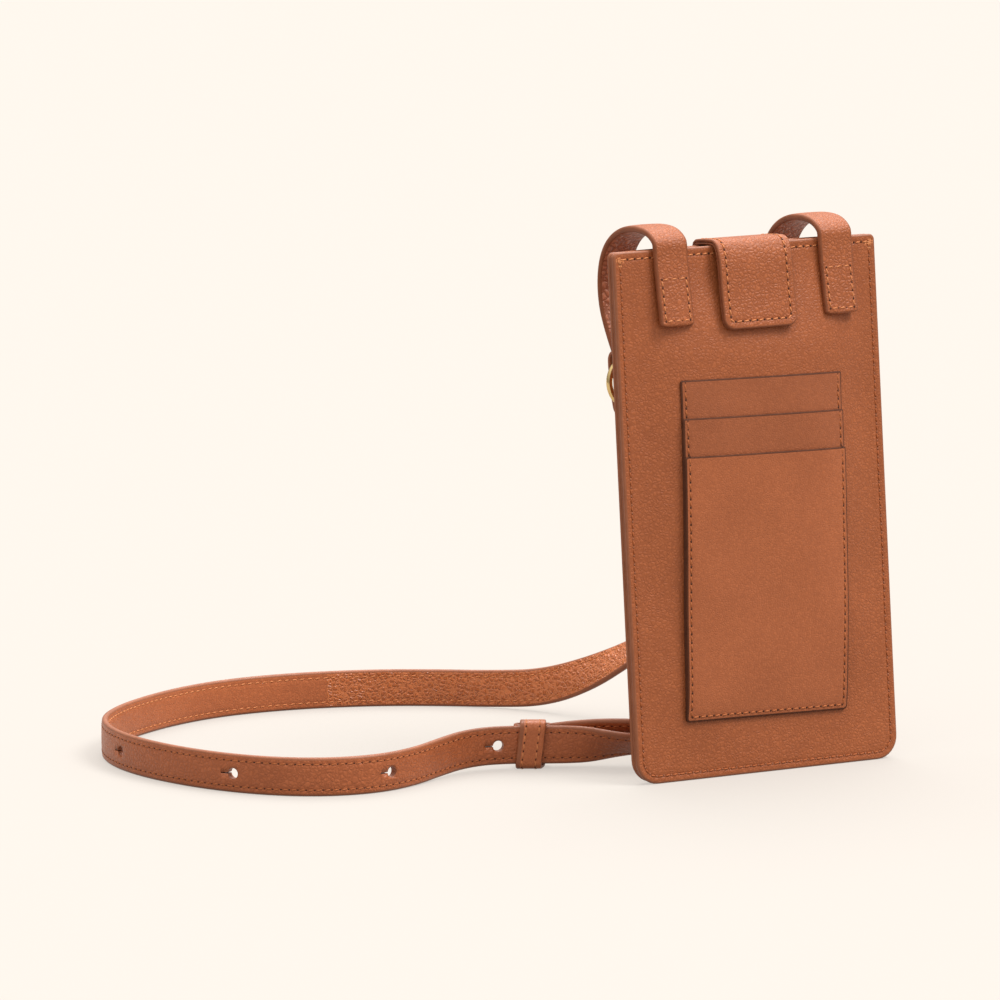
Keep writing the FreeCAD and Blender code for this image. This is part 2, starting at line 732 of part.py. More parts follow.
def make_stud(long_places, short_places, face, lining):
    # button stud on the short strap: flange, neck through the long strap, round head, screw behind
    hole, _, _ = place_at(long_places, size("stud_from_tip"))
    held = nearest(short_places, hole)
    outward = (hole - held).normalize()
    seat = held + outward * LAYER
    turn = FreeCAD.Rotation(Z_AXIS, outward)

    def round_part(kind, label, start, **expressions):
        obj = doc.addObject(kind, label)
        bind(obj, **expressions)
        obj.Placement = FreeCAD.Placement(seat + outward * start, turn)
        return obj

    flange_height = size("stud_flange_thickness")
    neck_height = (hole - held).Length + size("keeper_play")
    head_rise = neck_height + math.sqrt(size("stud_head_radius") ** 2 - size("stud_neck_radius") ** 2)
    flange = round_part("Part::Cylinder", "stud_flange", 0,
                        Radius="Sizes.stud_flange_radius", Height="Sizes.stud_flange_thickness")
    neck = round_part("Part::Cylinder", "stud_neck", flange_height, Radius="Sizes.stud_neck_radius")
    neck.Height = head_rise - flange_height
    head = round_part("Part::Sphere", "stud_head", head_rise, Radius="Sizes.stud_head_radius")
    bore = round_part("Part::Cylinder", "stud_bore", 0, Height="Sizes.screw_depth + Sizes.screw_play",
                      Radius="Sizes.screw_radius + Sizes.screw_play")
    stud = boolean("Part::Cut", "stud", joined("stud_body", [flange, neck, head]), bore)
    shank = round_part("Part::Cylinder", "screw_shank", -size("strap_thickness"),
                       Radius="Sizes.screw_radius", Height="Sizes.strap_thickness + Sizes.screw_depth")
    cap = round_part("Part::Cylinder", "screw_cap", -size("strap_thickness") - size("screw_head_thickness"),
                     Radius="Sizes.screw_head_radius", Height="Sizes.screw_head_thickness")
    screw = joined("stud_screw", [shank, cap])
    doc.recompute()
    reach = size("strap_thickness") + size("screw_depth")
    drill = Part.makeCylinder(size("screw_radius") + size("screw_play"), 2 * reach,
                              seat - outward * reach, outward)
    for label, leather in (("strap_short_face", face), ("strap_short_lining", lining)):
        pressed = leather.cut(drill).cut(stud.Shape).cut(screw.Shape)
        node(feature(label, pressed), label)
    node(stud, "stud")
    node(screw, "stud_screw")


# Keeper: a band round the long strap, whose back wall runs through the short strap's eye

def make_keeper(found, middles):
    point, along, back = keeper_frame(found, middles)
    body = doc.addObject("PartDesign::Body", "keeper_band")
    pad = body.newObject("PartDesign::Pad", "keeper_pad")
    depth = "(Sizes.strap_thickness + Sizes.keeper_wall * 3 + Sizes.keeper_play * 3)"
    pad.Profile = rectangle_sketch(body, "YZ_Plane", depth,
                                   "Sizes.strap_width + 2 * Sizes.keeper_wall + 2 * Sizes.keeper_play")
    pad.SideType = "Symmetric"
    bind(pad, Length="Sizes.keeper_width")
    doc.recompute()
    edges = ["Edge%d" % index for index, edge in enumerate(pad.Shape.Edges, start=1)
             if abs(edge.tangentAt(edge.FirstParameter).x) > 0.9]
    fillet = body.newObject("PartDesign::Fillet", "keeper_round")
    fillet.Base = (pad, edges)
    bind(fillet, Radius="Sizes.keeper_corner_radius")
    hollow = doc.addObject("Part::Box", "keeper_hollow")
    bind(hollow, Length="Sizes.keeper_width + 2 * Sizes.cut_overrun",
         Width=depth + " - 2 * Sizes.keeper_wall", Height="Sizes.strap_width + 2 * Sizes.keeper_play")
    hollow.Placement.Base = V(-1, -1, 1)
    bind(hollow, **{"Placement.Base.x": "-Length / 2", "Placement.Base.y": "-Width / 2",
                    "Placement.Base.z": "Sizes.keeper_wall"})
    loop = boolean("Part::Cut", "keeper", body, hollow)
    front = -(LAYER + size("keeper_play") + size("keeper_wall"))
    rear = strap_spacing() + size("keeper_wall") / 2
    low = size("strap_width") / 2 + size("keeper_play") + size("keeper_wall")
    base = point + back * ((front + rear) / 2) - Z_AXIS * low
    loop.Placement = FreeCAD.Placement(base, FreeCAD.Rotation(along, back, Z_AXIS, "ZXY"))
    node(loop, "keeper")


make_shell(floor_box())
make_pocket()
make_tab("left", "Sizes.tab_left_inset - Sizes.pouch_width / 2")
make_tab("right", "Sizes.pouch_width / 2 - Sizes.tab_right_inset")
make_flap()
long_found, long_middles = stations(LONG_ROUTE)
short_found, short_middles = stations(SHORT_ROUTE)
make_long_strap(long_found, long_middles)
short_face, short_lining = make_short_strap(short_found, long_found, long_middles)
make_stud(long_found, short_found, short_face, short_lining)
make_keeper(long_found, long_middles)

doc.recompute()
for obj in doc.Objects:
    if {"Invalid", "Error"} & set(obj.State):
        raise RuntimeError("%s failed: %s" % (obj.Label, obj.State))
for obj in nodes:
    if obj.Shape.isNull() or not obj.Shape.isValid() or obj.Shape.Volume <= 0:
        raise RuntimeError("%s has no sound solid" % obj.Label)
    print("%-26s solids %d volume %9.1f" % (obj.Label, len(obj.Shape.Solids), obj.Shape.Volume))
os.makedirs("parts", exist_ok=True)
for obj in nodes:
    obj.Shape.exportStep("parts/%s.step" % obj.Label)
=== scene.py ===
import bpy
import numpy as np
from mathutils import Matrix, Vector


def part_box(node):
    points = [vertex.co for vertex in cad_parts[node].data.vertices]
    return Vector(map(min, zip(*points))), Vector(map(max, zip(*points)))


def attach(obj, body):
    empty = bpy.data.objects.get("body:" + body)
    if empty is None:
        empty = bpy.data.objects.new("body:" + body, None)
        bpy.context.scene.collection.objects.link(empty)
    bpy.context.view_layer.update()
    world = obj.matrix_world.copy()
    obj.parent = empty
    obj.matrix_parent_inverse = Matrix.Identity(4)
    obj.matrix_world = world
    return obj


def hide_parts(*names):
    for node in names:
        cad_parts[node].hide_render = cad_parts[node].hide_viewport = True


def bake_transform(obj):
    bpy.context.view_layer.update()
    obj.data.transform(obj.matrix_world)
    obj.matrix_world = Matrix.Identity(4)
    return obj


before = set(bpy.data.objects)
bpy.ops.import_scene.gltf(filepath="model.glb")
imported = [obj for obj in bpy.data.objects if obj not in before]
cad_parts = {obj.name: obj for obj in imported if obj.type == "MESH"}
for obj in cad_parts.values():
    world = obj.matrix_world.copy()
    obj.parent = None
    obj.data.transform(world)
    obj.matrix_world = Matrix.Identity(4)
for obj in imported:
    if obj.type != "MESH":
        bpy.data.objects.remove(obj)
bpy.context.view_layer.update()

# Leather phone pouch leaning on its strap.  Metres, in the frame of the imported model.

pouch = {
    "width": 0.105, "height": 0.182,
    "lean": 5.6, "baseTrim": 0.0001,       # degrees back, and what the floor takes off the lower edge
    "panel": 0.0015, "lining": 0.0008,
    "margin": 0.004,                       # sewn flat along the sides
    "frontBulge": 0.0055, "backBulge": 0.007,
    "lowCorner": 0.008, "highCorner": 0.002,
    "frontLow": 0.00012, "backLow": 0.00062, "tuck": 0.00035,   # what keeps the sheets' edges apart
    "seamInset": 0.0026, "hemGap": 0.002,
}
ripples = {"height": 0.00022, "rise": (0.004, 0.03), "fall": (0.15, 0.178), "backShift": 0.05,
           "waves": ((95, 31, 0.7, 1.0), (41, -78, 2.1, 1.0), (150, 120, 0.0, 0.6))}
frontSwell = {"power": 4, "rise": (0.02, 0.62), "fall": (0.78, 1.0), "top": 0.0}
backSwell = {"power": 6, "rise": (0.02, 0.25), "fall": (0.80, 1.0), "top": 0.8}
frontFace = -pouch["panel"] / 2
edgeThickness = 2 * (pouch["panel"] + pouch["lining"])


# Surfaces of the pouch, as functions of x across and w up the face

def ease(value, start, end):
    # smooth step from 0 at start to 1 at end
    t = np.clip((value - start) / (end - start), 0, 1)
    return t * t * (3 - 2 * t)


def swell(x, w, shape):
    # one less a power of the share across, squared, times a smooth rise and fall with the height
    half = pouch["width"] / 2 - pouch["margin"]
    across = np.clip(1 - (np.abs(x) / half) ** shape["power"], 0, None) ** 2
    up = w / pouch["height"]
    return across * ease(up, *shape["rise"]) * (1 - (1 - shape["top"]) * ease(up, *shape["fall"]))


def ripple(x, w):
    # slight unevenness of soft leather: three crossing waves that die out at the seams
    wave = sum(size * np.sin(across * x + up * w + phase) for across, up, phase, size in ripples["waves"])
    inside = np.clip(1 - (np.abs(x) / (pouch["width"] / 2)) ** 6, 0, 1)
    return ripples["height"] * wave * inside * ease(w, *ripples["rise"]) * (1 - ease(w, *ripples["fall"]))


def frontY(x, w):
    # outer face of the front: flat, less its swelling, plus the ripple
    return frontFace - pouch["frontBulge"] * swell(x, w, frontSwell) + ripple(x, w)


def backY(x, w):
    # outer face of the back: the sewn edge's thickness behind the front, plus its swelling, less a ripple
    bulge = pouch["backBulge"] * swell(x, w, backSwell)
    return frontFace + edgeThickness + bulge - ripple(x, w + ripples["backShift"])


def standTurn(vectors):
    # from the upright pouch to the leaning one: a turn about X
    angle = np.radians(pouch["lean"])
    x, y, w = vectors[..., 0], vectors[..., 1], vectors[..., 2]
    return np.stack([x, y * np.cos(angle) + w * np.sin(angle), w * np.cos(angle) - y * np.sin(angle)], -1)


def stand(points):
    # the same turn for places, about the lower edge that the floor trims
    return standTurn(points) - np.array([0, 0, pouch["baseTrim"]])


def unit(vectors):
    return vectors / np.linalg.norm(vectors, axis=-1, keepdims=True)


# Materials

def feed(tree, node, sockets):
    # each socket takes a plain value or the output that feeds it
    for socket, value in sockets.items():
        if isinstance(value, bpy.types.NodeSocket):
            tree.links.new(value, node.inputs[socket])
        else:
            node.inputs[socket].default_value = value


def addNode(tree, kind, sockets=None, **settings):
    node = tree.nodes.new("ShaderNode" + kind)
    for name, value in settings.items():
        setattr(node, name, value)
    feed(tree, node, sockets or {})
    return node


def newMaterial(name, roughness, specular, metallic=0.0):
    material = bpy.data.materials.new(name)
    material.use_nodes = True
    tree = material.node_tree
    shader = tree.nodes["Principled BSDF"]
    feed(tree, shader, {"Roughness": roughness, "Specular IOR Level": specular, "Metallic": metallic})
    return material, tree, shader


def colourRamp(tree, factor, stops):
    ramp = addNode(tree, "ValToRGB", {"Fac": factor})
    for element, (position, colour) in zip(ramp.color_ramp.elements, stops):
        element.position, element.color = position, (*colour, 1)
    return ramp.outputs["Color"]


def objectNoise(tree, place, scale, detail):
    return addNode(tree, "TexNoise", {"Vector": place, "Scale": scale, "Detail": detail})


def mathNode(tree, operation, first, second):
    return addNode(tree, "Math", {0: first, 1: second}, operation=operation).outputs[0]


def raiseGrain(tree, shader, height, depth):
    bump = addNode(tree, "Bump", {"Height": height, "Distance": depth})
    feed(tree, shader, {"Normal": bump.outputs["Normal"]})


# grain: lengths in cells of the pattern, patches per metre, tones as shares of the base colour
grain = {"warpScale": 0.6, "warp": 1.1, "crease": 0.34, "poreScale": 3.0, "patchScale": 45.0,
         "cellTone": 0.90, "patchTone": 0.88, "gloss": 0.4}


def leather(name, base, crease, cell, depth, roughness, fine=0.2):
    # pebbles are the cells of a warped Voronoi pattern, round towards the creases between them
    material, tree, shader = newMaterial(name, roughness, grain["gloss"])
    place = addNode(tree, "TexCoord").outputs["Object"]
    warp = objectNoise(tree, place, grain["warpScale"] / cell, 2.0).outputs["Color"]
    shift = addNode(tree, "VectorMath", {0: warp, 1: (cell * grain["warp"],) * 3, 2: place},
                    operation="MULTIPLY_ADD").outputs[0]
    edges, cells = [addNode(tree, "TexVoronoi", {"Scale": 1 / cell, "Vector": shift}, feature=feature)
                    for feature in ("DISTANCE_TO_EDGE", "F1")]
    dome = addNode(tree, "MapRange", {"Value": edges.outputs["Distance"], "From Max": grain["crease"]},
                   interpolation_type="SMOOTHSTEP").outputs[0]
    pores = objectNoise(tree, place, grain["poreScale"] / cell, 4.0).outputs["Fac"]
    raiseGrain(tree, shader, mathNode(tree, "ADD", dome, mathNode(tree, "MULTIPLY", pores, fine)), depth)
    # the creases take the second colour; where it is lighter than the base, as on the coarse lining, it is a
    # painted highlight
    colour = colourRamp(tree, dome, ((0.0, crease), (0.6, base)))
    patches = objectNoise(tree, place, grain["patchScale"], 4.0)
    for factor, dark in ((cells.outputs["Color"], grain["cellTone"]),
                         (patches.outputs["Fac"], grain["patchTone"])):
        tone = colourRamp(tree, factor, ((0.3, (dark, dark * 0.98, dark * 0.96)), (0.75, (1.0, 1.0, 1.0))))
        colour = addNode(tree, "Mix", {"Factor": 1.0, "A": colour, "B": tone}, data_type="RGBA",
                         blend_type="MULTIPLY").outputs["Result"]
    feed(tree, shader, {"Base Color": colour})
    return material


def speckled(name, dark, light, scale, roughness, depth=0.00005, metallic=0.0):
    # even finish with a little noise in colour and height: edge paint, suede, thread, metal
    material, tree, shader = newMaterial(name, roughness, 0.3, metallic)
    place = addNode(tree, "TexCoord").outputs["Object"]
    noise = objectNoise(tree, place, scale, 5.0).outputs["Fac"]
    feed(tree, shader, {"Base Color": colourRamp(tree, noise, ((0.3, dark), (0.7, light)))})
    raiseGrain(tree, shader, noise, depth)
    return material


panelGrain = leather("panel leather", (0.47, 0.130, 0.040), (0.41, 0.111, 0.033), 0.00125, 0.00009, 0.46)
pebbled = leather("pebbled leather", (0.49, 0.136, 0.042), (0.40, 0.107, 0.032), 0.00135, 0.00013, 0.48)
strapGrain = leather("strap leather", (0.53, 0.148, 0.050), (0.46, 0.125, 0.040), 0.0015, 0.00011, 0.42)
# painted highlight: the coarse lining's creases are lighter than its pebbles, standing for light caught on
# the pebbles' upper edges
coarse = leather("coarse strap lining", (0.62, 0.166, 0.044), (0.78, 0.245, 0.085), 0.0015, 0.00030, 0.30)
smooth = leather("smooth leather", (0.51, 0.146, 0.050), (0.48, 0.136, 0.046), 0.0009, 0.00005, 0.44, 0.4)
slotLeather = leather("slot leather", (0.43, 0.122, 0.042), (0.40, 0.113, 0.038), 0.0009, 0.00005, 0.46, 0.4)
strapSmooth = leather("smooth strap leather", (0.60, 0.176, 0.062), (0.56, 0.162, 0.056), 0.0011, 0.00006,
                      0.42, 0.4)
archLining = leather("arch lining", (0.60, 0.220, 0.118), (0.38, 0.127, 0.062), 0.0022, 0.00030, 0.46)
suede = speckled("suede lining", (0.20, 0.070, 0.030), (0.27, 0.095, 0.042), 900.0, 0.9, 0.00012)
edgePaint = speckled("painted edge", (0.31, 0.102, 0.045), (0.37, 0.126, 0.058), 260.0, 0.42)
# partly painted shade: the flap and tab edges are darker than the edge paint, partly a real dark burnish and
# partly the shade along their sides next to the panel
darkEdgeAndShade = speckled("burnished edge and painted shade", (0.24, 0.069, 0.025), (0.30, 0.090, 0.035), 260.0, 0.55)
# partly painted shade: the very dark rim of the pocket sheets is their dark edge paint together with the
# shade along their edges, the left one most
pocketEdgeAndShade = speckled("dark pocket edge and painted shade", (0.085, 0.024, 0.009), (0.12, 0.035, 0.013), 260.0, 0.75)
lightThread = speckled("light thread", (0.66, 0.230, 0.080), (0.78, 0.310, 0.125), 2200.0, 0.6)
panelThread = speckled("panel thread", (0.42, 0.117, 0.036), (0.48, 0.140, 0.044), 2200.0, 0.6)
tanThread = speckled("tan thread", (0.46, 0.136, 0.042), (0.55, 0.175, 0.058), 2200.0, 0.6)
# painted shade: the dark grains between stitches stand for the shade inside the holes made by the needle
needleShade = speckled("needle hole shade", (0.070, 0.020, 0.008), (0.100, 0.030, 0.012), 500.0, 0.8)
brass = speckled("polished brass", (0.62, 0.43, 0.18), (0.72, 0.52, 0.24), 90.0, 0.22, 0.00001, 1.0)
steel = speckled("plated steel", (0.50, 0.50, 0.52), (0.62, 0.62, 0.64), 400.0, 0.35, 0.00001, 1.0)
print("materials made")


# Meshes from arrays

def addObject(name, data):
    item = bpy.data.objects.new(name, data)
    bpy.context.scene.collection.objects.link(item)
    return item


def addPiece(name, verts, polygons, kinds, materials, slot, body="pouch", nodes=()):
    # polygons is a list of (count x corners) index arrays, kinds the material index of each face
    mesh = bpy.data.meshes.new(name)
    loops = np.concatenate([faces.ravel() for faces in polygons]).astype(np.int32)
    corners = np.concatenate([np.full(len(faces), faces.shape[1]) for faces in polygons]).astype(np.int32)
    mesh.vertices.add(len(verts))
    mesh.vertices.foreach_set("co", np.asarray(verts, np.float32).ravel())
    mesh.loops.add(len(loops))
    mesh.loops.foreach_set("vertex_index", loops)
    mesh.polygons.add(len(corners))
    mesh.polygons.foreach_set("loop_start", np.concatenate([[0], np.cumsum(corners)[:-1]]).astype(np.int32))
    mesh.polygons.foreach_set("material_index", np.asarray(kinds, np.int32))
    mesh.polygons.foreach_set("use_smooth", np.ones(len(corners), bool))
    for material in materials:
        mesh.materials.append(material)
    mesh.update(calc_edges=True)
    mesh.validate()
    piece = addObject(name, mesh)
    if nodes:
        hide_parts(*nodes)
    if body:
        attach(piece, body)
    return piece


def gridFaces(rows, columns, closeRows=False):
    # quads of a grid whose columns close on themselves, and its rows too where asked
    r = np.arange(rows if closeRows else rows - 1)[:, None]
    c = np.arange(columns)[None, :]
    r2, c2 = (r + 1) % rows, (c + 1) % columns
    quads = np.stack([r * columns + c, r * columns + c2, r2 * columns + c2, r2 * columns + c], -1)
    return quads.reshape(-1, 4)


def cappedGrid(points, kinds, caps=(1, 1)):
    # closes both ends of a tube-like grid with a fan to the middle of its first and last row;
    # kinds are the materials of its faces by row, column or both, caps those of the two fans
    rows, columns = points.shape[:2]
    verts = np.concatenate([points.reshape(-1, 3), points[0].mean(0)[None], points[-1].mean(0)[None]])
    c = np.arange(columns)
    fan = np.stack([c, (c + 1) % columns, np.full(columns, rows * columns)], -1)
    fanStart, fanEnd = fan[:, [1, 0, 2]], fan + np.array([(rows - 1) * columns] * 2 + [1])
    body = np.broadcast_to(kinds, (rows - 1, columns)).ravel()
    faceKinds = np.concatenate([body, np.repeat(caps, columns)])
    return verts, [gridFaces(rows, columns), fanStart, fanEnd], faceKinds


# Leather sheets: a rounded outline drawn in towards its middle on both faces, with a round rim

sheetEdge = {"leastRadius": 0.0003, "rim": 0.00075, "plainInset": 0.003,
             "grooveReach": 0.0009, "grooveDepth": 0.00022, "faceEnd": 0.0017}


def cornerArcs(halfWidth, halfHeight, radii):
    # quarter circles at the corners of a rounded rectangle, from the lower left one round
    arcs = []
    for index, (sx, sy) in enumerate(((-1, -1), (1, -1), (1, 1), (-1, 1))):
        angle = np.radians(180 + 90 * index + np.linspace(0, 90, 9))
        middle = np.array([sx * (halfWidth - radii[index]), sy * (halfHeight - radii[index])])
        arcs.append(middle + radii[index] * np.stack([np.cos(angle), np.sin(angle)], -1))
    return arcs


def outlineAt(shape, inset):
    # rounded rectangle, drawn in by inset, with the same number of points at every inset
    radii = [max(radius - inset, sheetEdge["leastRadius"]) for radius in shape["radii"]]
    arcs = cornerArcs(shape["width"] / 2 - inset, shape["height"] / 2 - inset, radii)
    points = []
    for index, arc in enumerate(arcs):
        share = np.linspace(0, 1, shape["steps"][index % 2] + 2)[1:-1, None]
        points += [arc, arc[-1] + (arcs[(index + 1) % 4][0] - arc[-1]) * share]
    return np.concatenate(points) + np.array([0, shape["height"] / 2])


def sheetPiece(name, shape, thickness, place, materials, slot, grooveAt=None, grooveMask=None, **links):
    # place(x, s, n) puts a point of the flat sheet, n towards its outer face, into the upright pouch;
    # the rows run from the middle of that face over the groove of the seam and the rim to the inner face
    half = thickness / 2
    rim = min(half, sheetEdge["rim"])
    bevel = shape.get("bevel", rim)
    middle = np.array([0, shape["height"] / 2])
    groove = grooveAt or sheetEdge["plainInset"]
    reach = min(sheetEdge["grooveReach"], (groove - bevel) / 2)
    dips = ((groove + sheetEdge["faceEnd"], 0), (groove + reach, 0), (groove + 0.45 * reach, 0.45),
            (groove, 1), (groove - 0.45 * reach, 0.45), (groove - reach, 0),
            ((groove - reach + bevel) / 2, 0))
    depth = sheetEdge["grooveDepth"] if grooveAt else 0
    inner = outlineAt(shape, dips[0][0])
    drawn = [middle + (inner - middle) * share for share in np.linspace(0.03, 1, shape["faceRows"])]
    rows = [(points, half, 0) for points in drawn]
    for inset, dip in dips[1:]:
        points = outlineAt(shape, inset)
        mask = 1 if grooveMask is None else grooveMask(points)
        rows.append((points, half - depth * dip * mask, 0))
    for angle in np.radians(np.linspace(90, -90, 9)):
        flat = (half - rim) * np.sign(np.round(np.sin(angle), 6))
        kind = 2 if angle < np.radians(-60) else 1
        rows.append((outlineAt(shape, bevel * (1 - np.cos(angle))), flat + rim * np.sin(angle), kind))
    rows += [(outlineAt(shape, inset), -half, 2) for inset, _ in reversed(dips[1:])]
    rows += [(points, -half, 2) for points in reversed(drawn)]
    flat = np.stack([points for points, _, _ in rows])
    heights = np.stack([np.broadcast_to(height, len(inner)) for _, height, _ in rows])
    grid = stand(place(flat[..., 0], flat[..., 1], heights))
    rowKinds = np.array([kind for _, _, kind in rows[:-1]])
    verts, polygons, faceKinds = cappedGrid(grid, rowKinds[:, None], caps=(0, 2))
    return addPiece(name, verts, orientOut(verts, polygons), faceKinds, materials, slot, **links)


def orientOut(verts, polygons):
    # turns all faces round if the closed surface has a negative volume
    volume = 0.0
    for faces in polygons:
        for k in range(1, faces.shape[1] - 1):
            a, b, c = (verts[faces[:, corner]] for corner in (0, k, k + 1))
            volume += np.einsum("ij,ij->i", a, np.cross(b, c)).sum()
    return polygons if volume > 0 else [faces[:, ::-1] for faces in polygons]


# Sewing: each stitch is a small grain of thread, and between the grains sit small dark grains, painted shade
# for the holes the needle made

sewing = {"pitch": 0.0029, "length": 0.0020, "width": 0.00055, "height": 0.00032, "slant": 9.0,
          "hole": 0.00078, "holeHeightShare": 0.45, "bed": 0.0001, "lineStep": 0.0008}


def grainShape(rings=5, sides=6, reach=0.86, bluntness=0.7):
    # unit grain: an ellipsoid along x with blunt ends
    u = np.linspace(-reach, reach, rings)
    radius = (np.sqrt(1 - u ** 2) ** bluntness)[:, None]
    angle = np.arange(sides) * 2 * np.pi / sides
    body = np.stack(np.broadcast_arrays(u[:, None], radius * np.cos(angle), radius * np.sin(angle)), -1)
    return cappedGrid(body, 0)


def distances(line):
    return np.concatenate([[0], np.cumsum(np.linalg.norm(np.diff(line, axis=0), axis=1))])


def along3(values, run, places):
    # values given at the distances of run, read at other distances
    return np.stack([np.interp(places, run, values[:, k]) for k in range(values.shape[1])], -1)


def resample(line, step):
    # points of a polyline at even distances
    run = distances(line)
    return along3(line, run, np.linspace(0, run[-1], max(int(round(run[-1] / step)), 1) + 1))


def sewRows(name, rows, thread, slot="leather_pebbled", body="pouch", shade=needleShade):
    # rows is a list of (points, normals) lines on the leather
    stitch, stitchFaces, _ = grainShape()
    stitchSizes = (sewing["length"] / 2, sewing["width"] / 2, sewing["height"])
    holeSizes = (sewing["hole"] / 2, sewing["hole"] / 2, sewing["height"] * sewing["holeHeightShare"])
    verts, polygons, kinds = [], [], []
    offset = 0
    for line, normals in rows:
        run = distances(line)
        count = max(int(round(run[-1] / sewing["pitch"])), 1)
        places = np.linspace(0, run[-1], 2 * count + 1)
        spots = along3(line, run, places)
        up = unit(along3(normals, run, places))
        along = unit(np.gradient(spots, axis=0))
        across = np.cross(up, along)
        slant = np.radians(sewing["slant"])
        lie = along * np.cos(slant) + across * np.sin(slant)
        turned = np.cross(up, lie)
        # the second set of grains takes the shade material: painted shade in the holes, unless a thread
        # colour is passed instead
        for index, (start, sizes) in enumerate(((1, stitchSizes), (0, holeSizes))):
            pick = slice(start, None, 2)
            shaped = stitch * np.array(sizes)
            cloud = (spots[pick, None] + shaped[None, :, 0:1] * lie[pick, None]
                     + shaped[None, :, 1:2] * turned[pick, None] + shaped[None, :, 2:3] * up[pick, None])
            verts.append(cloud.reshape(-1, 3))
            starts = offset + np.arange(len(cloud))[:, None, None] * len(stitch)
            for faces in stitchFaces:
                polygons.append((faces[None] + starts).reshape(-1, faces.shape[1]))
                kinds.append(np.full(len(polygons[-1]), index))
            offset += cloud.shape[0] * cloud.shape[1]
    return addPiece(name, np.concatenate(verts), polygons, np.concatenate(kinds), [thread, shade], slot,
                    body=body)


def surfaceRow(flatLine, place, lift):
    # a line drawn on a flat sheet, carried onto its surface with the surface's own normal
    line = resample(np.asarray(flatLine, float), sewing["lineStep"])
    x, s = line[:, 0], line[:, 1]
    step = sewing["lineStep"] / 2
    here = place(x, s, lift)
    normal = np.cross(place(x + step, s, lift) - here, place(x, s + step, lift) - here)
    outward = place(x, s, lift + step) - here
    normal *= np.sign(np.einsum("ij,ij->i", normal, outward))[:, None]
    return stand(here), standTurn(unit(normal))


# Panels and linings

def facePlace(surface, outward, depth, low):
    # a sheet that starts at low and follows the front (outward 1) or the back (-1), a depth inside it
    def place(x, s, n):
        x, s, n = np.broadcast_arrays(x, s, n)
        w = s + low
        return np.stack([x, surface(x, w) + outward * depth - outward * n, w], -1)
    return place


def panelShape(inset, low):
    radii = [pouch["lowCorner"] - inset] * 2 + [pouch["highCorner"]] * 2
    return {"width": pouch["width"] - 2 * inset, "height": pouch["height"] - inset - low,
            "radii": radii, "steps": (40, 60), "faceRows": 30}


tack = {"shifts": (0.0002, 0.0008), "rise": 0.0006, "fall": 0.0022, "slant": 0.0004,
        "inside": 0.0012, "outside": 0.0014, "tilt": 0.0003}


def makePanels():
    # on each side a panel and a lining on the swelled face, then rows round the edge and along the hem
    panel, lining, seam, tuck = pouch["panel"], pouch["lining"], pouch["seamInset"], pouch["tuck"]
    x, top = pouch["width"] / 2 - seam, pouch["height"] - seam - pouch["frontLow"]
    half = panel / 2 - sewing["bed"]
    for name, surface, outward, low, liningLow in (
            ("front", frontY, 1, pouch["frontLow"], tuck),
            ("back", backY, -1, pouch["backLow"], pouch["backLow"])):
        place, shape = facePlace(surface, outward, panel / 2, low), panelShape(0, low)
        sheetPiece(name + "_panel_leather", shape, panel, place, [panelGrain, edgePaint, suede],
                   "leather_pebbled", seam, nodes=(name + "_panel",))
        sheetPiece(name + "_lining_sheet", panelShape(tuck, liningLow), lining,
                   facePlace(surface, outward, panel + lining / 2, liningLow), [suede, edgePaint, suede],
                   "lining", nodes=(name + "_lining",))
        loop = outlineAt(shape, seam)
        edge = loop[loop[:, 1] < top - pouch["hemGap"] / 2]
        start = np.argmax(np.where(edge[:, 0] < 0, edge[:, 1], 0))
        ends = [[(side * x, top - pouch["hemGap"])] for side in (-1, 1)]
        edge = np.concatenate([ends[0], np.roll(edge, -start, axis=0), ends[1]])
        # the holes of this edge row are painted shade in the edge paint's colour, softer than elsewhere
        sewRows(name + "_panel_stitches", [surfaceRow(edge, place, half)], panelThread, shade=edgePaint)
        sewRows(name + "_hem_stitches", [surfaceRow([(-x, top), (x, top)], place, half)], lightThread)
        tacks = []                         # bar tacks at the corners of the mouth
        for side in (-1, 1):
            for shift in tack["shifts"]:
                tacks.append([(side * (x + shift), top + tack["rise"]),
                              (side * (x + shift - tack["slant"]), top - tack["fall"])])
                tacks.append([(side * (x - tack["inside"]), top - shift),
                              (side * (x + tack["outside"]), top - shift + tack["tilt"])])
        sewRows(name + "_corner_tacks", [surfaceRow(line, place, half) for line in tacks], lightThread,
                shade=lightThread)
    print("panels made")


# Card pocket

pocket = {"width": 0.065, "height": 0.117, "low": 0.0195, "offset": -0.0007, "turn": 1.1,
          "corner": 0.0015, "topCorner": 0.0008, "step": 0.013, "sheet": 0.0008, "bevel": 0.0006,
          "lip": 0.00021, "lipReach": 0.004, "lipMargin": 0.003, "press": 0.6, "pressReach": 0.006,
          "seam": 0.0017, "grooveEnd": 0.005, "rowGaps": (0.0008, 0.0006)}
slotNames = ("card_slot_upper", "card_slot_middle", "card_slot_front")
slotTops = [pocket["height"] - layer * pocket["step"] for layer in range(len(slotNames))]


def pocketPlace(layer):
    # flat pocket coordinates, turned a little, then laid in front of the panel; the sewing presses
    # the sheets together at the lower edge
    turn = np.radians(pocket["turn"])

    def place(x, s, n):
        x, s, n = np.broadcast_arrays(x, s, n)
        px = x * np.cos(turn) + s * np.sin(turn) + pocket["offset"]
        pw = s * np.cos(turn) - x * np.sin(turn) + pocket["low"]
        across = np.clip(1 - (np.abs(x) / (pocket["width"] / 2 - pocket["lipMargin"])) ** 4, 0, 1)
        below = np.clip(slotTops[layer] - s, 0, None)
        lip = pocket["lip"] * layer * np.exp(-below / pocket["lipReach"]) * across
        pressed = 1 - pocket["press"] * np.exp(-np.clip(s, 0, None) / pocket["pressReach"])
        outside = ((layer + 0.5) * pocket["sheet"] + n) * pressed + lip
        return np.stack([px, frontY(px, pw) - outside, pw], -1)
    return place


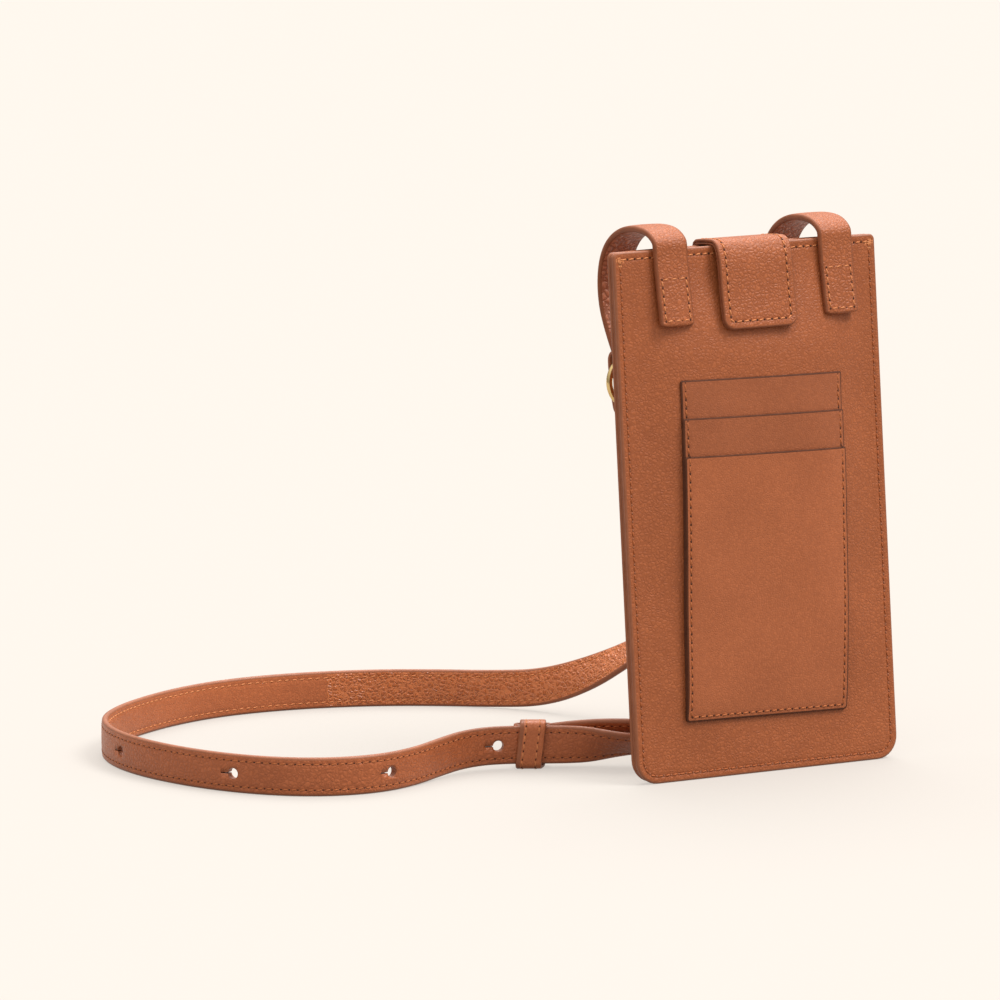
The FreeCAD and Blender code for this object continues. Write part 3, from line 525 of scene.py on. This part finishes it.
def makePocket():
    # three sheets, each a step lower than the one behind it, sewn along the sides and the bottom
    corners = [pocket["corner"]] * 2 + [pocket["topCorner"]] * 2
    for layer, (name, top) in enumerate(zip(slotNames, slotTops)):
        shape = {"width": pocket["width"], "height": top, "radii": corners, "steps": (34, 52),
                 "faceRows": 20, "bevel": pocket["bevel"]}
        # the rims take the very dark edge colour, partly painted shade; the bevel widens the rim that shows
        # it
        sheetPiece(name + "_leather", shape, pocket["sheet"], pocketPlace(layer),
                   [smooth if layer == 2 else slotLeather, pocketEdgeAndShade, suede], "leather_smooth",
                   pocket["seam"], lambda p, end=top - pocket["grooveEnd"]: (p[:, 1] < end) * 1.0,
                   nodes=(name,))
    half, seam, front = pocket["width"] / 2 - pocket["seam"], pocket["seam"], slotTops[2]
    lift = pocket["sheet"] / 2 - sewing["bed"]
    rows = [surfaceRow([(-half, front), (-half, seam), (half, seam), (half, front)], pocketPlace(2), lift)]
    for layer in (0, 1):
        start, end = slotTops[layer] - pocket["rowGaps"][0], slotTops[layer + 1] + pocket["rowGaps"][1]
        for side in (-half, half):
            rows.append(surfaceRow([(side, start), (side, end)], pocketPlace(layer), lift))
    sewRows("pocket_stitches", rows, tanThread, "leather_smooth")
    print("card pocket made")


# Strips that follow a line in the side view of the pouch

def smoothLine(points, steps=14):
    # quadratic B-spline through the middles of the runs, starting and ending at the end points
    points = np.asarray(points, float)
    middles = (points[1:-2] + points[2:-1]) / 2
    starts = np.concatenate([points[:1], middles])
    ends = np.concatenate([middles, points[-1:]])
    t = np.linspace(0, 1, steps, endpoint=False)[None, :, None]
    a, b, c = starts[:, None], points[1:-1][:, None], ends[:, None]
    curve = (1 - t) ** 2 * a + 2 * t * (1 - t) * b + t ** 2 * c
    return np.concatenate([curve.reshape(-1, points.shape[1]), points[-1:]])


def stripPlace(line, lift, offset, step=0.0006):
    # sheet coordinates carried along a side-view line: s is the distance along it, n and lift stand off it
    line = resample(line, step)
    run = distances(line)
    along = unit(np.gradient(line, axis=0))

    def place(x, s, n):
        x, s, n = np.broadcast_arrays(x, s, n)
        y, w, dy, dw = (np.interp(s, run, values) for values in (*line.T, *along.T))
        return np.stack([x + offset, y + dw * (n + lift), w - dy * (n + lift)], -1)
    return place, run[-1]


# Closing flap: leather and lining as two sheets from the back seam over the mouth to the loose end

flap = {"width": 0.0295, "offset": 0.0012, "leather": 0.0012, "lining": 0.0008, "standOff": 0.0017,
        "tipStandOff": 0.0059, "rise": 0.0010, "drop": 0.029, "seamDrop": 0.0055, "anchor": 0.028,
        "gap": 0.0003, "corner": 0.004, "seam": 0.0027, "sewnTop": 0.009, "sewnPlay": 0.00005}
# the fold's points: y from the back or the front, height from the mouth or the peak
flapFold = {"start": (-0.0004, -0.006), "back": ((0.0002, -0.0026), (-0.0003, -0.0002), (-0.003, 0.0)),
            "front": ((0.0035, 0.0), (0.0004, -0.0003), (-0.0011, -0.0022)),
            "puffs": ((0.22, 0.0013), (0.46, 0.0005), (0.72, 0.0), (1.0, 0.0))}
flapBend = {"hingeBack": 0.0029, "hingeDrop": 0.0057, "startDrop": 0.0091, "reach": 0.0081,
            "towards": (0, -0.857, 0.514)}


def flapLine():
    # side view of the surface between leather and lining: up the back, over the mouth, down the front
    x, top = flap["offset"], pouch["height"]
    low = top - flap["seamDrop"] - flap["gap"] - flap["anchor"]
    sewn = [(backY(x, w) + flap["lining"] + flap["sewnPlay"], w)
            for w in np.linspace(low, top - flap["sewnTop"], 6)]
    back, front = backY(x, top) + flap["standOff"], frontFace - flap["standOff"]
    peak = top + flap["rise"]
    fold = [(back + flapFold["start"][0], top + flapFold["start"][1])]
    fold += [(back + y, peak + w) for y, w in flapFold["back"]]
    fold += [(front + y, peak + w) for y, w in flapFold["front"]]
    tip = np.array([frontFace - flap["tipStandOff"], top - flap["drop"]])
    start = np.array([front, peak])
    face = [tuple(start + (tip - start) * share - (puff, 0)) for share, puff in flapFold["puffs"]]
    return smoothLine(sewn + fold + face)


def makeFlap():
    # leather and lining lie on either side of the line, and both go through bendFlap
    line = flapLine()
    for name, thickness, outward, face, slot, seam, nodes in (
            ("leather", flap["leather"], 1, pebbled, "leather_pebbled", flap["seam"],
             ("closing_flap", "flap_anchor")),
            ("lining", flap["lining"], -1, suede, "lining", None, ("flap_lining",))):
        place, length = stripPlace(line, outward * thickness / 2, flap["offset"])
        shape = {"width": flap["width"], "height": length, "radii": [flap["corner"]] * 4,
                 "steps": (22, 70), "faceRows": 34}
        # the flap's edges take the darker edge colour, partly painted shade
        bendFlap(sheetPiece("closing_flap_" + name, shape, thickness, place, [face, darkEdgeAndShade, suede], slot,
                            seam, body=None, nodes=nodes))
        if seam:
            loop = outlineAt(shape, seam)
            row = surfaceRow(np.concatenate([loop, loop[:1]]), place, thickness / 2 - sewing["bed"])
            bendFlap(sewRows("flap_stitches", [row], lightThread, body=None))
    print("flap made")


def bendFlap(piece):
    # works out the hinge and the reach of the bend below the back seam, leaves them unused, and bakes the
    # piece's transform into its mesh
    top = pouch["height"]
    hinge = np.array([0, backY(flap["offset"], top) + flapBend["hingeBack"], top - flapBend["hingeDrop"]])
    start = hinge + np.array([0, 0, -flapBend["startDrop"]])
    end = start + flapBend["reach"] * np.array(flapBend["towards"])
    tuple(stand(start))
    tuple(stand(end))
    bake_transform(piece)


# Ribbons: a strap section carried along a path

strap = {"width": 0.0134, "thickness": 0.0026, "rim": 0.0009, "rimMost": 0.7, "rimDip": 0.00005,
         "shoulder": 0.0016, "seam": 0.0023, "groove": 0.00016, "grooveReach": 0.0003, "grooveEnd": 0.0007,
         "flat": 0.0042, "crown": 0.00022, "endRound": 0.0008, "tipRound": 0.0063, "seamStart": 0.004,
         "seamEnd": 0.006, "seamCrownShare": 0.4, "stitchBed": 0.00002,
         "endSteps": (0, 0.00012, 0.0003, 0.0006, 0.001, 0.0016, 0.0023, 0.0032, 0.0045), "endZone": 0.006}


def strapSection(grooved):
    # closed section of (share across, height): each face falls with the square of the share across and
    # dips at the seams, the edges are round; its kinds are 0 outer face, 1 edge, 2 inner face
    half, width = strap["thickness"] / 2, strap["width"] / 2
    rim = min(strap["rim"], half * strap["rimMost"])
    seam, reach, dip = strap["seam"], strap["grooveReach"], strap["groove"] if grooved else 0
    insets = np.array([rim, strap["shoulder"], seam - reach, seam, seam + reach, seam + strap["grooveEnd"],
                       strap["flat"]])
    dips = np.array([strap["rimDip"], 0, dip / 2, dip, dip / 2, 0, 0])
    across = width - insets
    crown = strap["crown"] * (across / width) ** 2
    right = np.stack([across / width, half - dips - crown], -1)
    top = np.concatenate([right * (-1, 1), [[0, half]], right[::-1]])
    angle = np.radians(np.linspace(90, -90, 9))[1:-1]
    edgeTop, edgeLow = right[0][1], -(half - strap["rimDip"] - crown[0])
    edge = np.stack([1 - rim / width * (1 - np.cos(angle)),
                     (edgeTop + edgeLow) / 2 + (edgeTop - edgeLow) / 2 * np.sin(angle)], -1)
    loop = np.concatenate([top, edge, top[::-1] * (1, -1), edge[::-1] * (-1, 1)])
    return loop, np.repeat([0, 1, 2, 1], [len(top) - 1, len(edge) + 1] * 2)


def endDistances(length, step):
    # even steps, closer together at both ends so that they can be rounded
    near, zone = np.array(strap["endSteps"]), strap["endZone"]
    middle = np.linspace(zone, length - zone, int((length - 2 * zone) / step) + 1)
    return np.concatenate([near, middle, (length - near)[::-1]])


def endShare(distance, radius):
    # a quarter circle: 0 at the end, 1 a radius away from it
    return np.sqrt(np.clip(1 - (1 - np.clip(distance / radius, 0.02, 1)) ** 2, 0, 1))


def ribbon(path, side, grooved, startRadius, endRadius, step=0.0016):
    # the section at each place of the path: width along side, height along path crossed with side
    run = distances(path)
    places = endDistances(run[-1], step)
    points, edge = along3(path, run, places), along3(side, run, places)
    along = unit(np.gradient(points, places, axis=0))
    edge = unit(edge - along * np.einsum("ij,ij->i", edge, along)[:, None])
    face = np.cross(along, edge)
    wide = endShare(places, startRadius) * endShare(run[-1] - places, endRadius)
    thick = endShare(places, strap["endRound"]) * endShare(run[-1] - places, strap["endRound"])
    section, kinds = strapSection(grooved)
    across = section[None, :, 0] * (wide * strap["width"] / 2)[:, None]
    height = section[None, :, 1] * thick[:, None]
    grid = points[:, None] + across[..., None] * edge[:, None] + height[..., None] * face[:, None]
    return grid, kinds, {"points": points, "edge": edge, "face": face, "places": places}


def ribbonPiece(name, grid, kinds, materials, **links):
    verts, polygons, faceKinds = cappedGrid(grid, kinds)
    return addPiece(name, verts, orientOut(verts, polygons), faceKinds, materials, "leather_pebbled", **links)


def closedPiece(name, grid, kinds, materials, slot, **links):
    # a grid that closes on itself both ways
    verts = grid.reshape(-1, 3)
    polygons = orientOut(verts, [gridFaces(*grid.shape[:2], closeRows=True)])
    return addPiece(name, verts, polygons, np.tile(kinds, len(grid)), materials, slot, **links)


def bandPiece(name, path, across, width, thickness, materials, rim=0.0005, **links):
    # closed band: a rounded section of that width and thickness carried round a closed path
    along = unit(np.roll(path, -1, axis=0) - np.roll(path, 1, axis=0))
    out = np.cross(along, across)
    half = width / 2
    angle = np.radians(np.linspace(90, -90, 7))
    edge = np.stack([half - rim + rim * np.cos(angle), thickness / 2 * np.sin(angle)], -1)
    flat = np.linspace(-(half - rim), half - rim, 9)[1:-1]
    top = np.stack([flat, np.full(len(flat), thickness / 2)], -1)
    loop = np.concatenate([top, edge, top[::-1] * (1, -1), edge[::-1] * (-1, 1)])
    kinds = np.repeat([0, 1, 2, 1], [len(flat) + 1, len(edge) - 1] * 2)
    grid = path[:, None] + loop[None, :, 0:1] * across + loop[None, :, 1:2] * out[:, None]
    return closedPiece(name, grid, kinds, materials, "leather_pebbled", **links)


eye = {"width": 0.0048, "height": 0.0072, "wall": 0.0013}
eyeDrop = (eye["height"] + eye["wall"]) / 2      # from the end of a strap to the middle of its eye


def eyePiece(name, centre, across, along, materials):
    # turned end of a strap round a ring: a band along an upright slot shape
    through = np.cross(across, along)
    halfWidth, straight = eye["width"] / 2 + eye["wall"] / 2, (eye["height"] - eye["width"]) / 2
    angle = np.radians(np.linspace(0, 180, 13))
    top = np.stack([halfWidth * np.cos(angle), straight + halfWidth * np.sin(angle)], -1)
    loop = np.concatenate([top, -top])
    path = centre + loop[:, 0:1] * through + loop[:, 1:2] * along
    return bandPiece(name, path, across, strap["width"], eye["wall"], materials)


# Strap tabs and rings

tab = {"left": -0.0308, "right": 0.0353, "sewn": 0.0265, "reach": 0.0386, "rise": 0.0073, "drop": 0.0356,
       "boxWidth": 0.0096, "boxHeight": 0.0142, "boxLow": 0.0021, "stitchBed": 0.00012,
       "endRound": 0.0009, "step": 0.0012}
archShares = ((0.0, 0.39), (0.162, 0.90), (0.509, 1.0), (0.80, 0.43), (0.957, -0.13), (1.0, -0.42),
              (0.942, -0.71), (0.792, -1.0))
ring = {"radius": 0.0084, "wire": 0.0011, "play": 0.0004}


def tabLine(x):
    # side view of the tab: up the front, then an arch over the mouth to the ring behind
    half, top = strap["thickness"] / 2, pouch["height"]
    sewn = [(frontY(x, w) - half, w) for w in np.linspace(top - tab["sewn"], top, 7)]
    arch = [(frontFace - half + reach * tab["reach"], top + lift * tab["rise" if lift > 0 else "drop"])
            for reach, lift in archShares]
    return smoothLine(sewn + arch, 10)


def makeTab(name, x):
    # a strap along the tab's line, its turned end, a box of stitches, and the ring as a torus
    label, ringName = "strap_tab_" + name, "ring_" + name
    line = tabLine(x)
    path = stand(np.concatenate([np.full((len(line), 1), x), line], 1))
    across, along = np.array([1.0, 0, 0]), standTurn(np.array([0, 0, 1.0]))
    grid, kinds, _ = ribbon(path, np.broadcast_to(-across, path.shape), False, tab["endRound"],
                            tab["endRound"], tab["step"])
    # the tab's edges take the darker edge colour, partly painted shade
    ribbonPiece(label + "_leather", grid, kinds, [pebbled, darkEdgeAndShade, archLining], nodes=(label,))
    centre = stand(np.array([x, line[-1][0], line[-1][1] - eyeDrop]))
    eyePiece(label + "_eye", centre, across, along, [pebbled, edgePaint, archLining])

    def place(px, s, n):
        return np.stack(np.broadcast_arrays(x + px, frontY(x, s) - strap["thickness"] - n, s), -1)

    base = pouch["height"] - tab["sewn"] + tab["boxLow"]
    wide, tall = tab["boxWidth"] / 2, tab["boxHeight"]
    box = [(-wide, base), (wide, base), (wide, base + tall), (-wide, base + tall), (-wide, base)]
    sides = [surfaceRow(box[k:k + 2], place, -tab["stitchBed"]) for k in range(4)]
    sewRows(label + "_stitches", sides, lightThread)

    middle = centre + along * (eye["height"] / 2 - ring["wire"] - ring["play"] - ring["radius"])
    angle, turn = (np.linspace(0, 2 * np.pi, count, endpoint=False) for count in (72, 20))
    spoke = np.cos(angle)[:, None] * across + np.sin(angle)[:, None] * along
    axis = standTurn(np.array([0, 1.0, 0]))
    grid = (middle + spoke[:, None] * (ring["radius"] + ring["wire"] * np.cos(turn))[None, :, None]
            + (ring["wire"] * np.sin(turn))[None, :, None] * axis)
    closedPiece(ringName + "_wire", grid, np.zeros(len(turn), int), [brass], "brass", body=ringName,
                nodes=(ringName,))
    print(name + " tab made")


# Shoulder strap: routes from the rings, x, y, z, and where the strap isn't upright, the way its edge points

longRoute = (
    (0.0353, 0.04061, 0.12182, 1, 0, 0),
    (0.0353, 0.03939, 0.10935, 1, 0, 0),
    (0.0346, 0.041, 0.097, 1, 0, 0.1),
    (0.0328, 0.047, 0.082, 0.97, 0, 0.24),
    (0.0293, 0.057, 0.067, 0.93, 0, 0.37),
    (0.024, 0.07, 0.0525, 0.88, 0, 0.48),
    (0.017, 0.085, 0.0385, 0.8, 0, 0.6),
    (0.009, 0.102, 0.0262, 0.68, 0, 0.73),
    (0.0005, 0.1195, 0.0156, 0.48, 0, 0.88),
    (-0.0095, 0.1365, 0.0084, 0.22, 0, 0.98),
    (-0.022, 0.151, 0.0069, 0.06, 0, 1),
    (-0.037, 0.1635, 0.0067),
    (-0.055, 0.174, 0.0067),
    (-0.075, 0.181, 0.0067),
    (-0.0955, 0.1845, 0.0067),
    (-0.1155, 0.184, 0.0067),
    (-0.135, 0.1785, 0.0067),
    (-0.153, 0.1695, 0.0067),
    (-0.1698, 0.158, 0.0067),
    (-0.1833, 0.1433, 0.0067),
    (-0.1905, 0.1241, 0.0067),
    (-0.1915, 0.103, 0.0067),
    (-0.187, 0.081, 0.0067),
    (-0.1785, 0.061, 0.0067),
    (-0.166, 0.045, 0.0067),
    (-0.1505, 0.0355, 0.0067),
    (-0.1335, 0.0335, 0.0067),
    (-0.1175, 0.0385, 0.0068),
    (-0.1035, 0.046, 0.0074),
    (-0.091, 0.0515, 0.008),
    (-0.078, 0.05105, 0.00835),
    (-0.05575, 0.03887, 0.00835),
    (-0.043, 0.0305, 0.0085, 0, -0.78, 0.62),
    (-0.028, 0.023, 0.0087, 0, -0.88, 0.47),
    (-0.008, 0.018, 0.0089, 0, -0.9, 0.45),
)
shortRoute = (
    (-0.02933, 0.04061, 0.12193, 0.99, 0.014, 0.139),
    (-0.02759, 0.03941, 0.10961, 0.99, 0.014, 0.139),
    (-0.0223, 0.0388, 0.0975, 0.87, -0.45, 0.2),
    (-0.0125, 0.0392, 0.0845, 0.6, -0.75, 0.2),
    (-0.0015, 0.0405, 0.073, 0.35, -0.93, 0.15),
    (0.0095, 0.0425, 0.062, 0.15, -1, 0.1),
    (0.02, 0.0435, 0.0505, 0, -1, 0),
    (0.027, 0.042, 0.0385, 0, -1, 0),
    (0.0285, 0.037, 0.0265, 0, -1, 0.1),
    (0.0225, 0.0295, 0.0179, 0, -1, 0.2),
    (0.009, 0.024, 0.0139, 0, -0.95, 0.35),
    (-0.0076, 0.0202, 0.0129, 0, -0.9, 0.45),
    (-0.027, 0.0251, 0.0126, 0, -0.88, 0.47),
    (-0.041, 0.0337, 0.0123, 0, -0.62, 0.78),
    (-0.05987, 0.04555, 0.00835),
)
keeperRun = 30                             # the point of the long route where the keeper starts
strapHoles = {"count": 5, "pitch": 0.0555, "radius": 0.0019, "slit": 0.0048, "slitWidth": 0.00045}
liningSeam = 0.2476                        # from the ring to the butt seam of the long lining


def nurbsLine(points):
    # points of a smooth NURBS spline whose control points are the route's
    curve = bpy.data.curves.new("route", "CURVE")
    curve.dimensions = "3D"
    spline = curve.splines.new("NURBS")
    spline.points.add(len(points) - 1)
    spline.points.foreach_set("co", np.concatenate([points, np.ones((len(points), 1))], 1).ravel())
    spline.order_u = 3
    spline.use_endpoint_u = True
    spline.resolution_u = 16
    holder = addObject("route", curve)
    mesh = bpy.data.meshes.new_from_object(holder)
    line = np.zeros(len(mesh.vertices) * 3)
    mesh.vertices.foreach_get("co", line)
    bpy.data.objects.remove(holder)
    bpy.data.meshes.remove(mesh)
    return line.reshape(-1, 3)


def routeLines(route):
    # the centre line, and the upper edge's direction from a second spline beside it
    rows = np.array([row if len(row) == 6 else (*row, 0, 0, 1) for row in route], float)
    points, edges = rows[:, :3], unit(rows[:, 3:]) * strap["width"] / 2
    path = nurbsLine(points)
    return path, nurbsLine(points + edges) - path


def strapRows(info, start, end, sides):
    # stitch lines along both edges, on the outer face (1) or the inner one (-1)
    keep = (info["places"] >= start) & (info["places"] <= end)
    points, edge, face = (info[key][keep] for key in ("points", "edge", "face"))
    offset = strap["width"] / 2 - strap["seam"]
    height = strap["thickness"] / 2 - strap["groove"] - strap["crown"] * strap["seamCrownShare"]
    height -= strap["stitchBed"]
    return [(points + edge * sign * offset + face * side * height, face * side)
            for side in sides for sign in (-1, 1)]


def cutHoles(piece, cutters):
    # bores the holes for good, so that no live modifier is left on the piece
    for cutter in cutters:
        cut = piece.modifiers.new("hole", "BOOLEAN")
        cut.operation = "DIFFERENCE"
        cut.solver = "EXACT"
        cut.material_mode = "TRANSFER"
        cut.object = cutter
    graph = bpy.context.evaluated_depsgraph_get()
    bored = bpy.data.meshes.new_from_object(piece.evaluated_get(graph))
    piece.modifiers.clear()
    piece.data = bored
    for cutter in cutters:
        bpy.data.objects.remove(cutter)


def holeCutter(name, point, along, edge, face):
    # a keyhole: round hole with a narrow slit that runs back from it
    radius, slit = strapHoles["radius"], strapHoles["slitWidth"] / 2
    turn = np.arcsin(slit / radius)
    angle = np.linspace(np.pi + turn, 3 * np.pi - turn, 33)
    tail = np.array([[-strapHoles["slit"], slit], [-strapHoles["slit"], -slit]])
    outline = np.concatenate([radius * np.stack([np.cos(angle), np.sin(angle)], -1), tail])
    flat = point + outline[:, 0:1] * along + outline[:, 1:2] * edge
    through = face * strap["thickness"]
    count = len(outline)
    caps = [list(range(count))[::-1], list(range(count, 2 * count))]
    mesh = bpy.data.meshes.new(name)
    mesh.from_pydata(np.concatenate([flat - through, flat + through]).tolist(), [],
                     gridFaces(2, count).tolist() + caps)
    mesh.materials.append(edgePaint)
    return addObject(name, mesh)


def middleOf(node):
    low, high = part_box(node)
    return np.array((low + high) / 2)


def finishStrap(piece, route, length):
    # the turned end lies before the route's first point
    first, second, edge = np.array(route[0][:3]), np.array(route[1][:3]), np.array(route[0][3:], float)
    along = unit(second - first)
    across = unit(edge - along * edge.dot(along))
    centre = first - along * eyeDrop
    turned = eyePiece(piece.name + "_eye", centre, across, along, [strapGrain, edgePaint, smooth])
    print("%s made, %.3f m" % (piece.name, length))


def makeLongStrap():
    # the ribbon along its route, with a coarse lining up to the butt seam, and holes at even distances
    path, side = routeLines(longRoute)
    grid, kinds, info = ribbon(path, side, True, strap["endRound"], strap["tipRound"])
    lined = np.where((kinds == 2) & (info["places"][1:, None] < liningSeam), 3, kinds)
    piece = ribbonPiece("shoulder_strap_long", grid, lined, [strapGrain, edgePaint, strapSmooth, coarse],
                        nodes=("strap_long_face", "strap_long_lining_upper", "strap_long_lining_lower"))
    first = np.argmin(np.linalg.norm(info["points"] - middleOf("stud"), axis=1))
    cutters = []
    for index in range(strapHoles["count"]):
        at = np.argmin(np.abs(info["places"] - (info["places"][first] - index * strapHoles["pitch"])))
        point, edge, face = (info[key][at] for key in ("points", "edge", "face"))
        cutters.append(holeCutter("hole_%d" % index, point, np.cross(edge, face), edge, face))
    cutHoles(piece, cutters)
    length = info["places"][-1]
    start, end = strap["seamStart"], length - strap["seamEnd"]
    sewRows("shoulder_strap_long_stitches", strapRows(info, start, end, (1,)), tanThread)
    sewRows("shoulder_strap_long_inner_stitches", strapRows(info, start, end, (-1,)), lightThread,
            shade=tanThread)
    finishStrap(piece, longRoute, length)


def makeShortStrap():
    # the same ribbon along the short route, down to the keeper that it holds
    path, side = routeLines(shortRoute)
    grid, kinds, info = ribbon(path, side, True, strap["endRound"], strap["endRound"])
    piece = ribbonPiece("shoulder_strap_short", grid, kinds, [strapGrain, edgePaint, smooth],
                        nodes=("strap_short_face", "strap_short_lining"))
    length, start = info["places"][-1], strap["seamStart"]
    sewRows("shoulder_strap_short_stitches", strapRows(info, start, length - start, (1, -1)), tanThread)
    finishStrap(piece, shortRoute, length)


# Keeper: a band round the long strap, held in a flat eye of the short one

keeper = {"width": 0.009, "wall": 0.0014, "play": 0.00025, "height": 0.0167, "depth": 0.00755,
          "corner": 0.0016, "stitchInset": 0.0022, "stitchBed": 0.00008, "eyeSetBack": 0.003075,
          "eyeTrim": 0.0001, "lean": 0.12}


def roundedLoop(halfWidth, halfHeight, radius, step=0.0007):
    # closed rounded rectangle in the plane, with its points at even distances
    arcs = cornerArcs(halfWidth, halfHeight, [radius] * 4)
    points = np.concatenate([*arcs[2:], *arcs[:2], arcs[2][:1]])
    return resample(points, step)[:-1]


def makeKeeper():
    # a band round the strap, and the flat eye of the short strap that holds its rear run
    start, end = (np.array(longRoute[index][:3]) for index in (keeperRun, keeperRun + 1))
    along, up = unit(end - start), np.array([0, 0, 1.0])
    back = np.cross(up, along)
    back *= np.sign(back[1])
    centre, wall = middleOf("keeper"), keeper["wall"]
    loop = roundedLoop((keeper["depth"] - wall) / 2, (keeper["height"] - wall) / 2, keeper["corner"])
    # the front run leans: its lower end lies back along the strap, the run in the eye stays upright
    front = 0.5 - loop[:, 0:1] / np.ptp(loop[:, 0])
    shift = keeper["lean"] * front * (loop[:, 1:2] - loop[:, 1].max())
    path = centre + loop[:, 0:1] * back + loop[:, 1:2] * up + shift * along
    band = bandPiece("keeper_band", path, along, keeper["width"], wall, [strapSmooth, edgePaint, suede],
                     body="keeper", nodes=("keeper",))
    closed = np.concatenate([path, path[:1]])
    out = unit(np.cross(along, np.gradient(closed, axis=0)))
    out *= np.sign(np.einsum("ij,ij->i", out, closed - centre).mean())
    inset, lift = keeper["width"] / 2 - keeper["stitchInset"], wall / 2 - keeper["stitchBed"]
    rows = [(closed + along * side * inset + out * lift, out) for side in (-1, 1)]
    stitches = sewRows("keeper_stitches", rows, lightThread, body="keeper")
    halfDepth = wall + keeper["play"]
    flat = roundedLoop(keeper["width"] / 2 + 3 * keeper["play"] + wall / 2, halfDepth,
                       halfDepth - keeper["eyeTrim"])
    eyePath = centre + back * keeper["eyeSetBack"] + flat[:, 0:1] * along + flat[:, 1:2] * back
    held = bandPiece("keeper_eye", eyePath, up, strap["width"], wall, [strapGrain, edgePaint, smooth])
    print("keeper made")
    return [band, stitches, held]


# Hardware that keeps its solid shape

hardware = {"stud": brass, "stud_screw": brass, "flap_magnet": steel, "front_magnet": steel}


def dressHardware():
    for name, material in hardware.items():
        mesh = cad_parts[name].data
        mesh.materials.clear()
        mesh.materials.append(material)
    print("hardware dressed")


# Floor, light and camera

studio = {"floor": (0.22, 0.205, 0.187), "glow": (0.553, 0.513, 0.474), "floorHalf": 12.0,
          "sky": (1.0, 0.985, 0.965), "horizon": 0.23, "zenith": 1.60,
          "key": {"energy": 2.0, "from": (0.5, -0.45, 1.0), "spread": 26},
          "rim": {"energy": 1.6, "from": (0.35, 0.5, 1.0), "spread": 40}}
view = {"azimuth": -30.0, "elevation": 9.09, "target": (-0.1066, 0.0, 0.103), "distance": 2.746,
        "lens": 294.8, "sensor": 36.0, "clipEnd": 100.0}


def makeStudio():
    # the floor takes light and shadow, and its glow shows to the camera and in reflections
    half = studio["floorHalf"]
    mesh = bpy.data.meshes.new("floor")
    corners = [(-half, -half, 0), (half, -half, 0), (half, half, 0), (-half, half, 0)]
    mesh.from_pydata(corners, [], [(0, 1, 2, 3)])
    addObject("floor", mesh)
    material, tree, shader = newMaterial("pale floor", 0.9, 0.0)
    feed(tree, shader, {"Base Color": (*studio["floor"], 1)})
    rays = addNode(tree, "LightPath").outputs
    seen = mathNode(tree, "MAXIMUM", rays["Is Camera Ray"], rays["Is Glossy Ray"])
    seen = mathNode(tree, "MAXIMUM", seen, rays["Is Transmission Ray"])
    glow = addNode(tree, "Emission", {"Color": (*studio["glow"], 1), "Strength": seen})
    both = addNode(tree, "AddShader", {0: shader.outputs[0], 1: glow.outputs[0]})
    feed(tree, tree.nodes["Material Output"], {"Surface": both.outputs[0]})
    mesh.materials.append(material)

    # a sky that is brightest overhead, as under a wide soft box
    world = bpy.data.worlds.new("studio")
    world.use_nodes = True
    sky = world.node_tree
    height = addNode(sky, "SeparateXYZ", {0: addNode(sky, "TexCoord").outputs["Generated"]})
    strength = addNode(sky, "MapRange", {"Value": height.outputs["Z"], "To Min": studio["horizon"],
                                         "To Max": studio["zenith"]})
    feed(sky, sky.nodes["Background"], {"Color": (*studio["sky"], 1), "Strength": strength.outputs[0]})
    bpy.context.scene.world = world
    for name in ("key", "rim"):
        lamp = bpy.data.lights.new(name, "SUN")
        lamp.energy = studio[name]["energy"]
        lamp.angle = np.radians(studio[name]["spread"])
        x, y, z = studio[name]["from"]
        addObject(name, lamp).rotation_euler = (np.arctan2(np.hypot(x, y), z), 0, np.arctan2(x, -y))
    print("studio made")


def makeCamera():
    # at a distance from the target, turned by the azimuth and raised by the elevation
    azimuth, elevation = np.radians(view["azimuth"]), np.radians(view["elevation"])
    level = np.cos(elevation)
    back = np.array([np.sin(azimuth) * level, -np.cos(azimuth) * level, np.sin(elevation)])
    lens = bpy.data.cameras.new("camera")
    lens.lens = view["lens"]
    lens.sensor_width = view["sensor"]
    lens.clip_end = view["clipEnd"]
    camera = addObject("camera", lens)
    camera.location = np.array(view["target"]) + back * view["distance"]
    camera.rotation_euler = (np.pi / 2 - elevation, 0, azimuth)
    bpy.context.scene.camera = camera
    bpy.context.scene.view_settings.view_transform = "Standard"


makeCamera()
makeStudio()
makeLongStrap()
keeperPieces = makeKeeper()
makeShortStrap()
makePanels()
makePocket()
makeFlap()
for tabName in ("left", "right"):
    makeTab(tabName, tab[tabName])
dressHardware()
